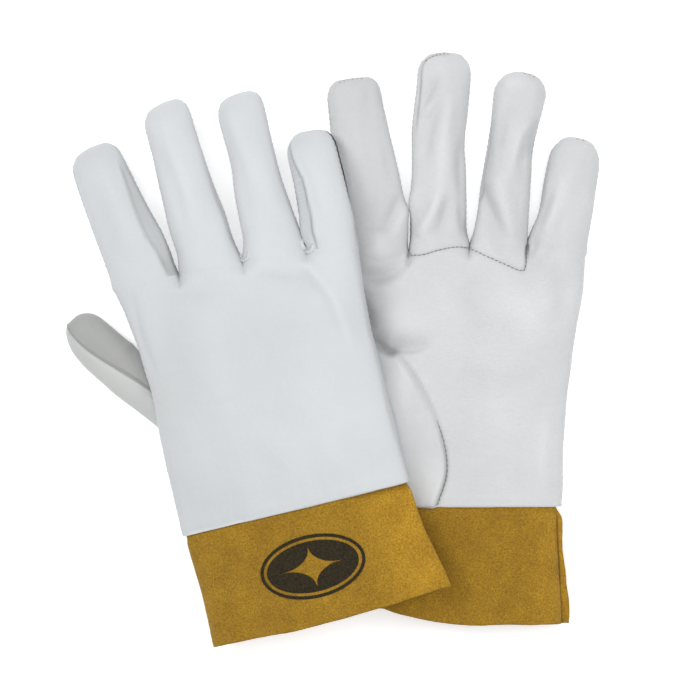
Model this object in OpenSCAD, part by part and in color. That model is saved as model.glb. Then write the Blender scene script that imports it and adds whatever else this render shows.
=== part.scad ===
// Pair of long-finger leather welding gloves laid flat, the right-hand glove
// (back of the hand up) resting on the left-hand glove (palm up).
// Millimetres, +Z up, the resting surface is z = 0, fingers point along +Y.
// Each glove is drawn in its own frame: x across the hand (thumb at -x),
// y from the cuff seam towards the fingertips, z = 0 on the side seams,
// back of the hand at +z, palm at -z.

/* [Leather] */
// thickness of the smooth hand leather
leather_t = 1.2; // [1.0:0.1:1.6]
// thickness of the split leather of the cuff band
cuff_t = 1.4; // [1.2:0.1:1.8]
// open seam left between the back and the palm pieces
seam_gap = 0.3; // [0.2:0.05:0.5]
// radius of the sewing thread
thread_r = 0.45; // [0.3:0.05:0.6]

/* [Glove body] */
// half thickness of the hand part, over the knuckles
hand_half = 10; // [9.5:0.1:10.2]
// half thickness of a finger
finger_half = 8.4; // [7.8:0.1:8.6]
// half thickness of the thumb
thumb_half = 7.8; // [7.0:0.1:8.0]
// length of the cuff band below the hand seam
cuff_len = 57; // [50:1:65]
// width of the raw edges standing out at the cuff side seam
cuff_flap = 4.2; // [3:0.2:6]

/* [Knuckles] */
// clear gap between two neighbouring finger segments on the back side
knuckle_gap = 0.9; // [0.8:0.1:1.4]
// depth of the fold line below the finger pad surface
fold_depth = 4.5; // [4:0.5:6]
// half angle of the fold relief on the pad side
fold_half = 38; // [38:1:44]

/* [Lay] */
// turn of the upper glove in plan, degrees
turn_right = 14.2; // [13.8:0.1:14.6]
// side lean of the upper glove, degrees
lean_right = 6; // [5.8:0.1:6.4]
// height of the side seam plane of the upper glove at its middle
height_right = 25.6; // [25.4:0.1:27]
// height of the side seam plane of the lower glove
height_left = 9.7; // [9.6:0.1:9.7]

/* [Hidden] */
// glove numbers, finger numbers, and the sign of each side or thumb half
right = 0;
left = 1;
index = 0;
middle = 1;
ring = 2;
little = 3;
back = 1;
front = -1;
inner_half = 1; // thumb half facing the fingers
outer_half = -1;

seam_half = seam_gap / 2;
columns = 6; // mesh columns across one finger
half_hand = 57.5; // half width of the hand at the cuff seam
finger_power = 2.2; // oval exponent of finger and thumb sections

// plan positions of the two cuff-seam middles; tables by glove start with the right
seam_middle = [[-16.974, -75.379], [55.026, -74.979]];
// [x, y] along the crotch row: thumb-side edge, three finger crotches, far edge
crotch = [
  [[-60, 122], [-26.6, 122.3], [5.2, 120.7], [36.4, 118], [60.8, 114]],
  [[-46.5, 118], [-16.6, 123], [13, 126], [41, 127], [68.6, 121]]];
// [x, y] of the fingertips: index, middle, ring, little
tips = [
  [[-54, 195], [-13.5, 207], [21.6, 201.5], [51.6, 174.5]],
  [[-43, 207], [-0.2, 219], [36.4, 209.5], [64.6, 179]]];
// finger widths, which set the rounding of the tips
widths = [[26.5, 26, 24, 24.6], [27, 26, 25, 25.6]];
// finger sides: offsets of both edges from the finger's own line, at 10, 25,
// 40, 55, 70 and 85 percent of its length
edges = [[
  [[-15.7, 17.2], [-15.6, 17.5], [-15.4, 16], [-15.2, 14.7], [-14.7, 13.5], [-14, 12.3]],
  [[-14.6, 14.4], [-15, 14.2], [-14.2, 12.5], [-14.1, 11.8], [-13.7, 11.7], [-13.9, 11]],
  [[-13.7, 14], [-13.6, 13.2], [-13.3, 12.3], [-11.9, 11.8], [-12.1, 11.2], [-12.9, 11.1]],
  [[-12.3, 13.2], [-12.6, 13.5], [-12.6, 13.2], [-12.7, 12.6], [-13.5, 11.9], [-13.8, 11]]], [
  [[-15.2, 16.1], [-15.2, 16.8], [-15.2, 16], [-15.2, 14.8], [-15.2, 13.4], [-14.9, 12.8]],
  [[-14.3, 13.1], [-15, 12.8], [-14.2, 11.5], [-14.6, 11.2], [-13.7, 12.5], [-12.8, 12.9]],
  [[-12.5, 13.1], [-12.2, 12.7], [-11.8, 12.1], [-11.3, 11.2], [-11.1, 11.7], [-11.6, 13.5]],
  [[-13.6, 13.8], [-12.4, 14.3], [-11.4, 14.5], [-11.6, 14.3], [-11.7, 14.2], [-11.5, 13.5]]]];
// drop of each fingertip towards the palm side
droops = [[9, 11, 13, 12], [3, 4, 4, 3]];
// distance of the first fold from the crotch row, by finger
first_folds = [11, 11, 11, 9];
// outline of the hand part: [y, x] at the thumb side and at the far side
edge_thumb = [
  [[0, -57.5], [32, -56.8], [52, -55.4], [72, -54.4], [92, -55.3], [113, -58], [122, -60]],
  [[0, -57.5], [30, -57], [60, -56], [90, -52], [118, -46.5]]];
edge_far = [
  [[0, 57.5], [34, 57], [54, 57.4], [73, 57.2], [93, 58.6], [114, 60.8]],
  [[0, 57.5], [27, 57.5], [46, 58.9], [75, 62.3], [104, 67.4], [121, 68.6]]];
// mesh rows of the hand, as shares of the way from cuff seam to crotch row
hand_rows = [0, 0.14, 0.3, 0.46, 0.6, 0.72, 0.82, 0.9, 0.96, 1];
// thumb: root middle, root half vector, tip, seam-plane heights at root and tip
thumb_root = [[-52.5, 64], [-59.3, 64]];
thumb_root_vec = [[1.2, 15], [1.0, 14.5]];
thumb_tip = [[-86.5, 113.5], [-88, 110]];
thumb_z = [[-11.7, -8.4], [0.8, 1.6]];
thumb_width = 24;

// ---- shared curves ----
// across runs from -1 to 1 over a section; inset is the depth inside the outer face
function smooth(x) = let (c = min(1, max(0, x))) c * c * (3 - 2 * c);
function mix(a, b, w) = a * (1 - w) + b * w;
function oval(x, power) = pow(max(0, 1 - pow(abs(x), power)), 1 / power);
function column(i) = -cos(180 * i / columns);
function shrink(size, inset) = max(size - inset, 0.35 * size);
// distance of a shell from its seam plane
function shell(half, across) = seam_half + (half - seam_half) * oval(across, finger_power);
// share of the tip rounding passed at a station: 0 at its start, 1 at the tip
function tip_share(station, length, radius) = (station - length + radius) / radius;
function tip_scale(share) = max(oval(max(0, share), 2.3), 0.12);
// fold relief: grows with the height of the shell over the fold line
function relief(half, depth, angle, across, inset) =
  max(0, shell(half - inset, across) - (half - depth)) * tan(angle);
// station in a piece; cuts are 1 at the ends that stop short at a fold,
// and rows close up towards a tip
function piece_station(span, cuts, clearance, share) = mix(
  span[0] + cuts[0] * clearance,
  span[1] - cuts[1] * clearance,
  cuts[1] == 0 ? pow(share, 0.72) : share);

// ---- closed sheet from an outer grid, an inner grid and a boundary loop ----
function quad(a, b, c, d) = [[a, b, c], [a, c, d]];
function quads(first, cols, rows) = [for (j = [0 : rows - 1]) for (i = [0 : cols - 1])
  let (low = first + j * (cols + 1) + i, high = low + cols + 1)
  each quad(low, low + 1, high + 1, high)];
function rim(cols, rows) = concat(
  [for (i = [0 : cols - 1]) i],
  [for (j = [0 : rows - 1]) j * (cols + 1) + cols],
  [for (i = [cols : -1 : 1]) rows * (cols + 1) + i],
  [for (j = [rows : -1 : 1]) j * (cols + 1)]);
module sheet(outer, inner, faces, loop, flip) {
  n = len(outer);
  loop_len = len(loop);
  inner_faces = [for (f = faces) [f[0] + n, f[2] + n, f[1] + n]];
  walls = [for (i = [0 : loop_len - 1]) let (a = loop[i], b = loop[(i + 1) % loop_len])
    each quad(b, a, a + n, b + n)];
  all = concat(faces, inner_faces, walls);
  // outward faces run clockwise when seen from outside
  polyhedron(points = concat(outer, inner),
    faces = flip ? all : [for (f = all) [f[0], f[2], f[1]]], convexity = 6);
}
module grid_sheet(outer, inner, cols, rows, flip) {
  sheet(outer, inner, quads(0, cols, rows), rim(cols, rows), flip);
}

// ---- fingers ----
root_blend = 13; // length over which the root section turns square to the finger
tip_thinning = 0.9; // loss of half thickness towards the tip
tip_trim = 0.05; // last mesh row of a finger or thumb, short of the tip

function finger_base(glove, finger) = (crotch[glove][finger] + crotch[glove][finger + 1]) / 2;
function finger_vec(glove, finger) = (crotch[glove][finger + 1] - crotch[glove][finger]) / 2;
function finger_line(glove, finger) = tips[glove][finger] - finger_base(glove, finger);
function finger_len(glove, finger) = norm(finger_line(glove, finger));
function normal_to(dir) = [dir[1], -dir[0]];
function second_fold(glove, finger) = 0.47 * finger_len(glove, finger) + 1;
function edge_offset(glove, finger, share, edge) =
  lookup(share, [for (j = [0 : 5]) [0.1 + 0.15 * j, edges[glove][finger][j][edge]]]);

function finger_point(glove, finger, side, across, outer_station, inset) = let (
  length = finger_len(glove, finger),
  dir = finger_line(glove, finger) / length,
  tip = tip_share(outer_station, length, widths[glove][finger] / 2),
  station = outer_station - inset * smooth(tip),
  scale = tip_scale(tip),
  blend = smooth(station / root_blend),
  low = edge_offset(glove, finger, station / length, 0),
  high = edge_offset(glove, finger, station / length, 1),
  centre = finger_base(glove, finger) + dir * station
    + normal_to(dir) * blend * (high + low) / 2,
  lateral = mix(finger_vec(glove, finger), normal_to(dir) * (high - low) / 2 * scale, blend),
  half_width = norm(lateral),
  thinned = finger_half - tip_thinning * smooth((station - 10) / length),
  p = centre + lateral * shrink(half_width, inset) / half_width * across)
  [p[0], p[1], -droops[glove][finger] * pow(station / length, 2)
    + side * shell(shrink(thinned * scale, inset), across)];
function finger_clearance(side, across, inset) = knuckle_gap / 2
  + (side == back ? 0 : relief(finger_half, fold_depth, fold_half, across, inset));
function finger_grid(glove, finger, side, span, cuts, rows, inset, first_row = 0) =
  [for (j = [first_row : rows]) for (i = [0 : columns]) let (
    across = column(i),
    clearance = finger_clearance(side, across, inset))
    finger_point(glove, finger, side, across,
      piece_station(span, cuts, clearance, j / rows), inset)];

module finger_piece(glove, finger, side, span, cuts, rows) {
  grid_sheet(finger_grid(glove, finger, side, span, cuts, rows, 0),
    finger_grid(glove, finger, side, span, cuts, rows, leather_t),
    columns, rows, side == front);
}
module finger_root(glove, finger) {
  finger_piece(glove, finger, front, [0.35, first_folds[finger]], [0, 1], 2);
}
module finger_lower(glove, finger, side) {
  finger_piece(glove, finger, side, [first_folds[finger], second_fold(glove, finger)], [1, 1], 4);
}
module finger_upper(glove, finger, side) {
  span = [second_fold(glove, finger), finger_len(glove, finger) - tip_trim];
  finger_piece(glove, finger, side, span, [1, 0], 8);
}

// ---- hand ----
// along runs from 0 at the cuff seam to 1 at the crotch row
function border_point(glove, border, along) = let (y = along * crotch[glove][border][1])
  border == 0 ? [lookup(y, edge_thumb[glove]), y] :
  border == 4 ? [lookup(y, edge_far[glove]), y] :
  [mix(half_hand * (border / 2 - 1), crotch[glove][border][0], along), y];
function hand_thick(along) = hand_half
  * mix(0.84, 1, smooth(along / 0.3)) * mix(1, 0.93, smooth((along - 0.7) / 0.3));
function hand_power(side) = side == back ? 3 : 2.5;
// the upper glove sags towards the thumb-side corner of its cuff
function sag(glove, x, y) = glove == left ? 0 :
  -8 * smooth((70 - y) / 125) * smooth((20 - x) / 76);
// its palm is dented round the thumb root
function dent(glove, side, x, y) = (glove == left || side == back) ? 1 :
  1 - 0.5 * exp(-pow((x + 58) / 12, 2) - pow((y - 64) / 26, 2));
// one oval over the whole hand, turning into four finger ovals at the crotch row
function hand_height(side, hand_across, across, along) = mix(
  hand_thick(along) * oval(hand_across, hand_power(side)),
  finger_half * oval(across, finger_power),
  smooth((along - 0.78) / 0.22));
function hand_point(glove, side, finger, across, along, inset) = let (
  share = (across + 1) / 2,
  hand_across = (finger + share) / 2 - 1,
  p = mix(border_point(glove, finger, along), border_point(glove, finger + 1, along), share),
  height = hand_height(side, hand_across, across, along) * dent(glove, side, p[0], p[1]))
  [p[0] - inset * sign(hand_across) * pow(abs(hand_across), 8), p[1],
    sag(glove, p[0] - inset * sign(hand_across) * pow(abs(hand_across), 8) * 0
      - inset * sign(hand_across) * pow(abs(hand_across), 8), p[1])
    + side * max(seam_half, shrink(height, inset))];
function hand_row(glove, side, along, inset) = [for (c = [0 : 4 * columns]) let (
  finger = min(3, floor(c / columns)),
  across = column(c - finger * columns),
  at_crotch = c % columns == 0 && c > 0 && c < 4 * columns)
  along < 1 ? hand_point(glove, side, finger, across, along, inset) :
  (inset > 0 && at_crotch) ?
    [crotch[glove][finger][0], crotch[glove][finger][1] - 1.3 * inset, side * seam_half] :
    finger_point(glove, finger, side, across, 0, inset)];

// hand panel; own marks the finger roots that are cut in one piece with it
module hand_panel(glove, side, own) {
  rows = len(hand_rows) - 1;
  cols = 4 * columns;
  stub_rows = 2;
  width = columns + 1;
  function verts(inset) = concat(
    [for (along = hand_rows) each hand_row(glove, side, along, inset)],
    [for (k = [0 : 3]) if (own[k]) each
      finger_grid(glove, k, side, [0, first_folds[k]], [0, 1], stub_rows, inset, 1)]);
  // first vertex of a stub, and vertex i of finger k on the crotch row
  function stub(k) = (rows + 1) * (cols + 1)
    + stub_rows * width * len([for (q = [0 : 1 : k - 1]) if (own[q]) q]);
  function top(k, i) = rows * (cols + 1) + k * columns + i;
  stub_faces = [for (k = [0 : 3]) if (own[k]) each concat(
    [for (i = [0 : columns - 1])
      each quad(top(k, i), top(k, i + 1), stub(k) + i + 1, stub(k) + i)],
    quads(stub(k), columns, 1))];
  loop = concat(
    [for (i = [0 : cols - 1]) i],
    [for (j = [0 : rows - 1]) j * (cols + 1) + cols],
    [for (k = [3 : -1 : 0]) each (own[k] ? concat(
      [top(k, columns)],
      [for (j = [0 : 1]) stub(k) + j * width + columns],
      [for (i = [columns - 1 : -1 : 0]) stub(k) + width + i],
      [stub(k)]) :
      [for (i = [columns : -1 : 1]) top(k, i)])],
    [for (j = [rows : -1 : 1]) j * (cols + 1)]);
  sheet(verts(0), verts(leather_t), concat(quads(0, cols, rows), stub_faces), loop,
    side == front);
}
module back_panel(glove) { hand_panel(glove, back, [true, true, true, true]); }
module palm_panel(glove) { hand_panel(glove, front, [true, false, false, true]); }

// ---- thumb (halves split by an upright seam plane) ----
thumb_blend = 22; // length over which the root section turns square to the thumb
thumb_gap = 0.6; // clear gap at the thumb fold

function thumb_line(glove) = thumb_tip[glove] - thumb_root[glove];
function thumb_len(glove) = norm(thumb_line(glove));
function thumb_fold(glove) = 0.5 * thumb_len(glove);
function thumb_point(glove, half, across, outer_station, inset) = let (
  length = thumb_len(glove),
  dir = thumb_line(glove) / length,
  tip = tip_share(outer_station, length, thumb_width / 2),
  station = outer_station - inset * smooth(tip),
  scale = tip_scale(tip),
  lateral = mix(thumb_root_vec[glove], normal_to(dir) * thumb_width / 2 * scale,
    smooth(station / thumb_blend)),
  half_width = norm(lateral),
  offset = half * shell(shrink(half_width, inset), across),
  p = thumb_root[glove] + dir * station + lateral / half_width * offset)
  [p[0], p[1], mix(thumb_z[glove][0], thumb_z[glove][1], station / length)
    + shrink(thumb_half * scale, inset) * across];
function thumb_clearance(half, across, inset) = thumb_gap / 2
  + (half == outer_half ? 0 : relief(thumb_width / 2, 5, 19, across, inset));

module thumb_piece(glove, half, span, cuts, rows) {
  function grid(inset) = [for (j = [0 : rows]) for (i = [0 : columns]) let (
    across = column(i),
    clearance = thumb_clearance(half, across, inset))
    thumb_point(glove, half, across, piece_station(span, cuts, clearance, j / rows), inset)];
  grid_sheet(grid(0), grid(leather_t), columns, rows, half == inner_half);
}
module thumb_lower(glove, half) {
  thumb_piece(glove, half, [0, thumb_fold(glove)], [0, 1], 4);
}
module thumb_upper(glove, half) {
  thumb_piece(glove, half, [thumb_fold(glove), thumb_len(glove) - tip_trim], [1, 0], 8);
}

// ---- crescent wing of the thumb, an added layer over the heel of the palm ----
wing_rows = [4, 14, 24, 34, 44, 54, 64, 72];
wing_thumb_x = -39; // straight edge on the thumb side
wing_outer = 1.35; // distances of both wing faces from the palm
wing_inner = 0.45;
// [y, x] of the curved edge
wing_curve = [[0, -4], [12, -1], [24, 0], [36, -2], [48, -7], [62, -14], [72, -24]];

function wing_x(y) = lookup(y, wing_curve);
function panel_z(glove, side, hand_across, along, x, y) = sag(glove, x, y)
  + side * hand_thick(along) * oval(hand_across, hand_power(side)) * dent(glove, side, x, y);
function palm_z(glove, x, y) = panel_z(glove, front, min(1, abs(x) / 57), y / 121, x, y);
module wing(glove) {
  cols = 6;
  function grid(drop) = [for (y = wing_rows) for (i = [0 : cols])
    let (x = mix(wing_thumb_x, wing_x(y), i / cols)) [x, y, palm_z(glove, x, y) - drop]];
  grid_sheet(grid(wing_outer), grid(wing_inner), cols, len(wing_rows) - 1, true);
}

// ---- cuff band: one strip wrapped round, its two ends sewn with raw edges outwards ----
cuff_cols = 28; // columns round the band, without the two raw edges
cuff_tuck = 5; // length tucked into the hand
cuff_split = 0.12; // half gap between the upper and lower halves

function cuff_half_width(y) = 1.6 * smooth(-y / cuff_len)
  + mix(half_hand - leather_t - 2.2, 55.6, smooth((-1.5 - y) / 8));
function cuff_half_height(y) =
  mix(hand_thick(0) - leather_t - 0.75, hand_thick(0) - 0.3, smooth((-2 - y) / 9));
// the lower glove's hem curves up towards the thumb side
function cuff_hem(glove, x) = glove == right ? -cuff_len :
  -cuff_len - 1 + min(8, 0.0037 * pow(min(0, x - 17), 2));
function cuff_shift(glove, y) = (glove == right ? 1.6 : 0.2) * smooth(-y / cuff_len);
function cuff_point(glove, i, down, inset) = let (
  raw = (i == 0 || i == cuff_cols + 2) ? 1 : 0,
  at_end = i <= 1 || i >= cuff_cols + 1,
  half = i <= cuff_cols / 2 + 1 ? 1 : -1,
  angle = 360 * min(cuff_cols, max(0, i - 1)) / cuff_cols,
  power = sin(angle) < 0 ? 0.85 : 0.72,
  unit_x = sign(cos(angle)) * pow(abs(cos(angle)), power),
  unit_z = sign(sin(angle)) * pow(abs(sin(angle)), power),
  y = mix(cuff_tuck, cuff_hem(glove, half_hand * unit_x), down),
  flap = 0.4 + cuff_flap * smooth((-y - 1.6) / 5),
  x = (cuff_half_width(y) - inset) * unit_x + raw * (flap + inset),
  z = half * cuff_split + (at_end ? half * (inset > 0 ? 0 : cuff_t) :
    (cuff_half_height(y) - inset) * unit_z))
  [x + cuff_shift(glove, y), y, z + sag(glove, x, y)];
module cuff(glove) {
  rows = 7;
  // the second row lies just below the seam, so the raw ends start outside the hand
  function row_share(j) = j == 0 ? 0 : mix(0.1, 1, (j - 1) / (rows - 1));
  function grid(inset) = [for (j = [0 : rows]) for (i = [0 : cuff_cols + 2])
    cuff_point(glove, i, row_share(j), inset)];
  grid_sheet(grid(0), grid(cuff_t), cuff_cols + 2, rows, true);
}

// ---- sewing thread as a cord that dips at every needle hole ----
module cord(path, normal) {
  n = len(path) - 1;
  pts = [for (i = [0 : n]) let (
    run = path[min(n, i + 1)] - path[max(0, i - 1)],
    sideways = cross(normal, run / norm(run)) * thread_r,
    rise = (i % 2 == 0 ? 1.75 : 2.15) * thread_r)
    each [path[i] + sideways, path[i] + normal * rise,
      path[i] - sideways, path[i] - normal * 0.05]];
  polyhedron(points = pts, faces = concat(
    quad(0, 1, 2, 3),
    quad(4 * n, 4 * n + 3, 4 * n + 2, 4 * n + 1),
    [for (i = [0 : n - 1]) for (j = [0 : 3]) let (a = 4 * i + j, b = 4 * i + (j + 1) % 4)
      each quad(a, a + 4, b + 4, b)]));
}
module threads(glove) {
  // cuff seam, back and palm side
  along = 0.03;
  y_seam = along * 120;
  for (side = [back, front])
    cord([for (i = [0 : 28]) let (
      hand_across = side * mix(-0.8, 0.8, i / 28),
      x = hand_across * half_hand)
      [x, y_seam, panel_z(glove, side, hand_across, along, x, y_seam) + side * 0.24]],
      [0, 0, side]);
  // along the curved edge of the crescent wing
  cord([for (i = [0 : 24]) let (y = mix(70, 6, i / 24), x = wing_x(y) - 3)
    [x, y, palm_z(glove, x, y) - 1.75]], [0, 0, -1]);
}

// ---- mark on the cuff back: an oval ring round an oval field with an open
// four-point spark, following the curve of the band ----
mark_middle = [2.5, -29];
mark_heights = [0.45, 0.15]; // top and bottom faces over the band
spark_power = 0.55;

function on_cuff(q, height) = let (
  x = q[0] + mark_middle[0],
  y = q[1] + mark_middle[1],
  share = abs((x - cuff_shift(right, y)) / cuff_half_width(y)))
  [x, y, cuff_half_height(y) * pow(1 - pow(share, 2.78), 0.36)
    + cuff_split + sag(right, x, y) + height];
// band between two closed outlines
module print_band(outer, inner, steps) {
  n = len(outer);
  width = steps + 1;
  low = n * width; // first vertex of the bottom face
  pts = [for (height = mark_heights) for (i = [0 : n - 1]) for (j = [0 : steps])
    on_cuff(mix(outer[i], inner[i], j / steps), height)];
  polyhedron(points = pts, faces = [for (i = [0 : n - 1])
    let (p = i * width, q = ((i + 1) % n) * width, r = p + steps, s = q + steps)
    each concat(
      [for (j = [0 : steps - 1]) each concat(
        quad(p + j, p + j + 1, q + j + 1, q + j),
        quad(low + p + j, low + q + j, low + q + j + 1, low + p + j + 1))],
      quad(p, q, low + q, low + p),
      quad(r, low + r, low + s, s))]);
}
function ellipse(a, b) = [for (i = [0 : 47]) [a * cos(7.5 * i), b * sin(7.5 * i)]];
function spark(a, b) = [for (p = ellipse(1, 1)) let (
  r = pow(pow(abs(p[0]), spark_power) + pow(abs(p[1]), spark_power), -1 / spark_power))
  [a * r * p[0], b * r * p[1]]];
module mark() {
  print_band(ellipse(26, 15.2), ellipse(24.4, 13.6), 1);
  print_band(ellipse(22.8, 12.2), spark(15.5, 9.8), 3);
}

// ---- placing ----
module put_right() {
  translate([seam_middle[right][0], seam_middle[right][1], height_right])
    rotate([0, 0, turn_right]) rotate([0, -lean_right, 0]) children();
}
module put_left() {
  translate([seam_middle[left][0], seam_middle[left][1], height_left])
    mirror([0, 0, 1]) children();
}
white = [0.86, 0.87, 0.88];
pearl = [0.83, 0.84, 0.84];
shade = [0.78, 0.79, 0.79];
gold = [0.66, 0.47, 0.17];
thread_c = [0.93, 0.92, 0.88];
ink = [0.1, 0.1, 0.1];

module right_hand_back() { color(white) put_right() back_panel(right); }
module right_palm() { color(pearl) put_right() palm_panel(right); }
module right_thumb_wing() { color(shade) put_right() wing(right); }
module right_middle_front_root() { color(pearl) put_right() finger_root(right, middle); }
module right_ring_front_root() { color(pearl) put_right() finger_root(right, ring); }
module right_index_back_lower() { color(white) put_right() finger_lower(right, index, back); }
module right_index_back_upper() { color(white) put_right() finger_upper(right, index, back); }
module right_index_front_lower() { color(pearl) put_right() finger_lower(right, index, front); }
module right_index_front_upper() { color(pearl) put_right() finger_upper(right, index, front); }
module right_middle_back_lower() { color(white) put_right() finger_lower(right, middle, back); }
module right_middle_back_upper() { color(white) put_right() finger_upper(right, middle, back); }
module right_middle_front_lower() { color(pearl) put_right() finger_lower(right, middle, front); }
module right_middle_front_upper() { color(pearl) put_right() finger_upper(right, middle, front); }
module right_ring_back_lower() { color(white) put_right() finger_lower(right, ring, back); }
module right_ring_back_upper() { color(white) put_right() finger_upper(right, ring, back); }
module right_ring_front_lower() { color(pearl) put_right() finger_lower(right, ring, front); }
module right_ring_front_upper() { color(pearl) put_right() finger_upper(right, ring, front); }
module right_little_back_lower() { color(white) put_right() finger_lower(right, little, back); }
module right_little_back_upper() { color(white) put_right() finger_upper(right, little, back); }
module right_little_front_lower() { color(pearl) put_right() finger_lower(right, little, front); }
module right_little_front_upper() { color(pearl) put_right() finger_upper(right, little, front); }
module right_thumb_back_lower() { color(white) put_right() thumb_lower(right, outer_half); }
module right_thumb_back_upper() { color(white) put_right() thumb_upper(right, outer_half); }
module right_thumb_front_lower() { color(shade) put_right() thumb_lower(right, inner_half); }
module right_thumb_front_upper() { color(shade) put_right() thumb_upper(right, inner_half); }
module right_cuff() { color(gold) put_right() cuff(right); }
module right_threads() { color(thread_c) put_right() threads(right); }
module right_cuff_mark() { color(ink) put_right() mark(); }
module left_hand_back() {
  // the back of the lower glove is pressed flat by the surface it lies on
  color(white) difference() {
    put_left() back_panel(left);
    translate([-60, -160, -10]) cube([240, 340, 10]);
  }
}
module left_palm() { color(pearl) put_left() palm_panel(left); }
module left_thumb_wing() { color(shade) put_left() wing(left); }
module left_middle_front_root() { color(pearl) put_left() finger_root(left, middle); }
module left_ring_front_root() { color(pearl) put_left() finger_root(left, ring); }
module left_index_back_lower() { color(white) put_left() finger_lower(left, index, back); }
module left_index_back_upper() { color(white) put_left() finger_upper(left, index, back); }
module left_index_front_lower() { color(pearl) put_left() finger_lower(left, index, front); }
module left_index_front_upper() { color(pearl) put_left() finger_upper(left, index, front); }
module left_middle_back_lower() { color(white) put_left() finger_lower(left, middle, back); }
module left_middle_back_upper() { color(white) put_left() finger_upper(left, middle, back); }
module left_middle_front_lower() { color(pearl) put_left() finger_lower(left, middle, front); }
module left_middle_front_upper() { color(pearl) put_left() finger_upper(left, middle, front); }
module left_ring_back_lower() { color(white) put_left() finger_lower(left, ring, back); }
module left_ring_back_upper() { color(white) put_left() finger_upper(left, ring, back); }
module left_ring_front_lower() { color(pearl) put_left() finger_lower(left, ring, front); }
module left_ring_front_upper() { color(pearl) put_left() finger_upper(left, ring, front); }
module left_little_back_lower() { color(white) put_left() finger_lower(left, little, back); }
module left_little_back_upper() { color(white) put_left() finger_upper(left, little, back); }
module left_little_front_lower() { color(pearl) put_left() finger_lower(left, little, front); }
module left_little_front_upper() { color(pearl) put_left() finger_upper(left, little, front); }
module left_thumb_back_lower() { color(white) put_left() thumb_lower(left, outer_half); }
module left_thumb_back_upper() { color(white) put_left() thumb_upper(left, outer_half); }
module left_thumb_front_lower() { color(shade) put_left() thumb_lower(left, inner_half); }
module left_thumb_front_upper() { color(shade) put_left() thumb_upper(left, inner_half); }
module left_cuff() { color(gold) put_left() cuff(left); }
module left_threads() { color(thread_c) put_left() threads(left); }

right_hand_back();
right_palm();
right_thumb_wing();
right_middle_front_root();
right_ring_front_root();
right_index_back_lower();
right_index_back_upper();
right_index_front_lower();
right_index_front_upper();
right_middle_back_lower();
right_middle_back_upper();
right_middle_front_lower();
right_middle_front_upper();
right_ring_back_lower();
right_ring_back_upper();
right_ring_front_lower();
right_ring_front_upper();
right_little_back_lower();
right_little_back_upper();
right_little_front_lower();
right_little_front_upper();
right_thumb_back_lower();
right_thumb_back_upper();
right_thumb_front_lower();
right_thumb_front_upper();
right_cuff();
right_threads();
right_cuff_mark();
left_hand_back();
left_palm();
left_thumb_wing();
left_middle_front_root();
left_ring_front_root();
left_index_back_lower();
left_index_back_upper();
left_index_front_lower();
left_index_front_upper();
left_middle_back_lower();
left_middle_back_upper();
left_middle_front_lower();
left_middle_front_upper();
left_ring_back_lower();
left_ring_back_upper();
left_ring_front_lower();
left_ring_front_upper();
left_little_back_lower();
left_little_back_upper();
left_little_front_lower();
left_little_front_upper();
left_thumb_back_lower();
left_thumb_back_upper();
left_thumb_front_lower();
left_thumb_front_upper();
left_cuff();
left_threads();
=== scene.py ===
"""A pair of leather gloves with suede cuffs, lying on a floor.

Each glove is modelled in its own frame, in millimetres: +x towards the little finger, +y towards
the fingertips, +z out of the back of the hand, y = 0 at the seam to the cuff. The right glove
lies back up, turned and leaning over the left one. The left glove is mirrored in z and lies
palm up. place() takes both to the shared frame, and the meshes are written in metres.
"""
import math
from itertools import product

import bpy
import numpy as np
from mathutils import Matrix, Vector
from mathutils.kdtree import KDTree
from numpy import array


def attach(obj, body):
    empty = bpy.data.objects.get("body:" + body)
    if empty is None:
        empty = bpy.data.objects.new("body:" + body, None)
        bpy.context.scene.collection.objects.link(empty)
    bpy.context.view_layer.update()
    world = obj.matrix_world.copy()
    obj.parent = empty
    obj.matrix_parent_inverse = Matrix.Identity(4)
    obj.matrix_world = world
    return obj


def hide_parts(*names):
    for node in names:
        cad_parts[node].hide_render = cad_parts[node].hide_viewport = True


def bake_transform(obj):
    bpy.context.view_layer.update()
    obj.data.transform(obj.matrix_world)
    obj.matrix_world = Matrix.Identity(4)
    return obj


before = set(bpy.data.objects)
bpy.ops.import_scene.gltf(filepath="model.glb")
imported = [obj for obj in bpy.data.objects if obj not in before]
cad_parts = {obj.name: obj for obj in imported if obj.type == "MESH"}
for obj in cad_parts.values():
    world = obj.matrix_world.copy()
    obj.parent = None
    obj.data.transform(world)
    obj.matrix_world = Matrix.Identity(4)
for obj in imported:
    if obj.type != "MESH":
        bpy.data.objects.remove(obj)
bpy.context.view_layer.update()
MM = 0.001

# ---------------------------------------------------------------- dimensions
RIGHT, LEFT = 0, 1
BACK, PALM = 1, -1
GLOVES = ["right", "left"]
FINGER_NAMES = ["index", "middle", "ring", "little"]

HALF_WIDTH = 57.5       # of the hand, at the cuff seam
HALF_HAND = 10.0        # half thicknesses of hand, finger and thumb
HALF_FINGER = 8.4
HALF_THUMB = 7.8

# glove frames in the shared frame: turn and lean of the right glove, and both origins
TURN, LEAN = math.radians(14.2), math.radians(6.0)
ORIGINS = [array([-16.974, -75.379, 25.6]), array([55.026, -74.979, 9.7])]
FLOOR_GAP, SETTLE = 0.12, 1.2   # lowest leather, and the depth over which it flattens

# (x, y) of the borders between the finger roots, from the thumb side, per glove
CROTCH = [array([(-60, 122), (-26.6, 122.3), (5.2, 120.7), (36.4, 118), (60.8, 114)], float),
          array([(-46.5, 118), (-16.6, 123), (13, 126), (41, 127), (70.2, 121)], float)]
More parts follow.
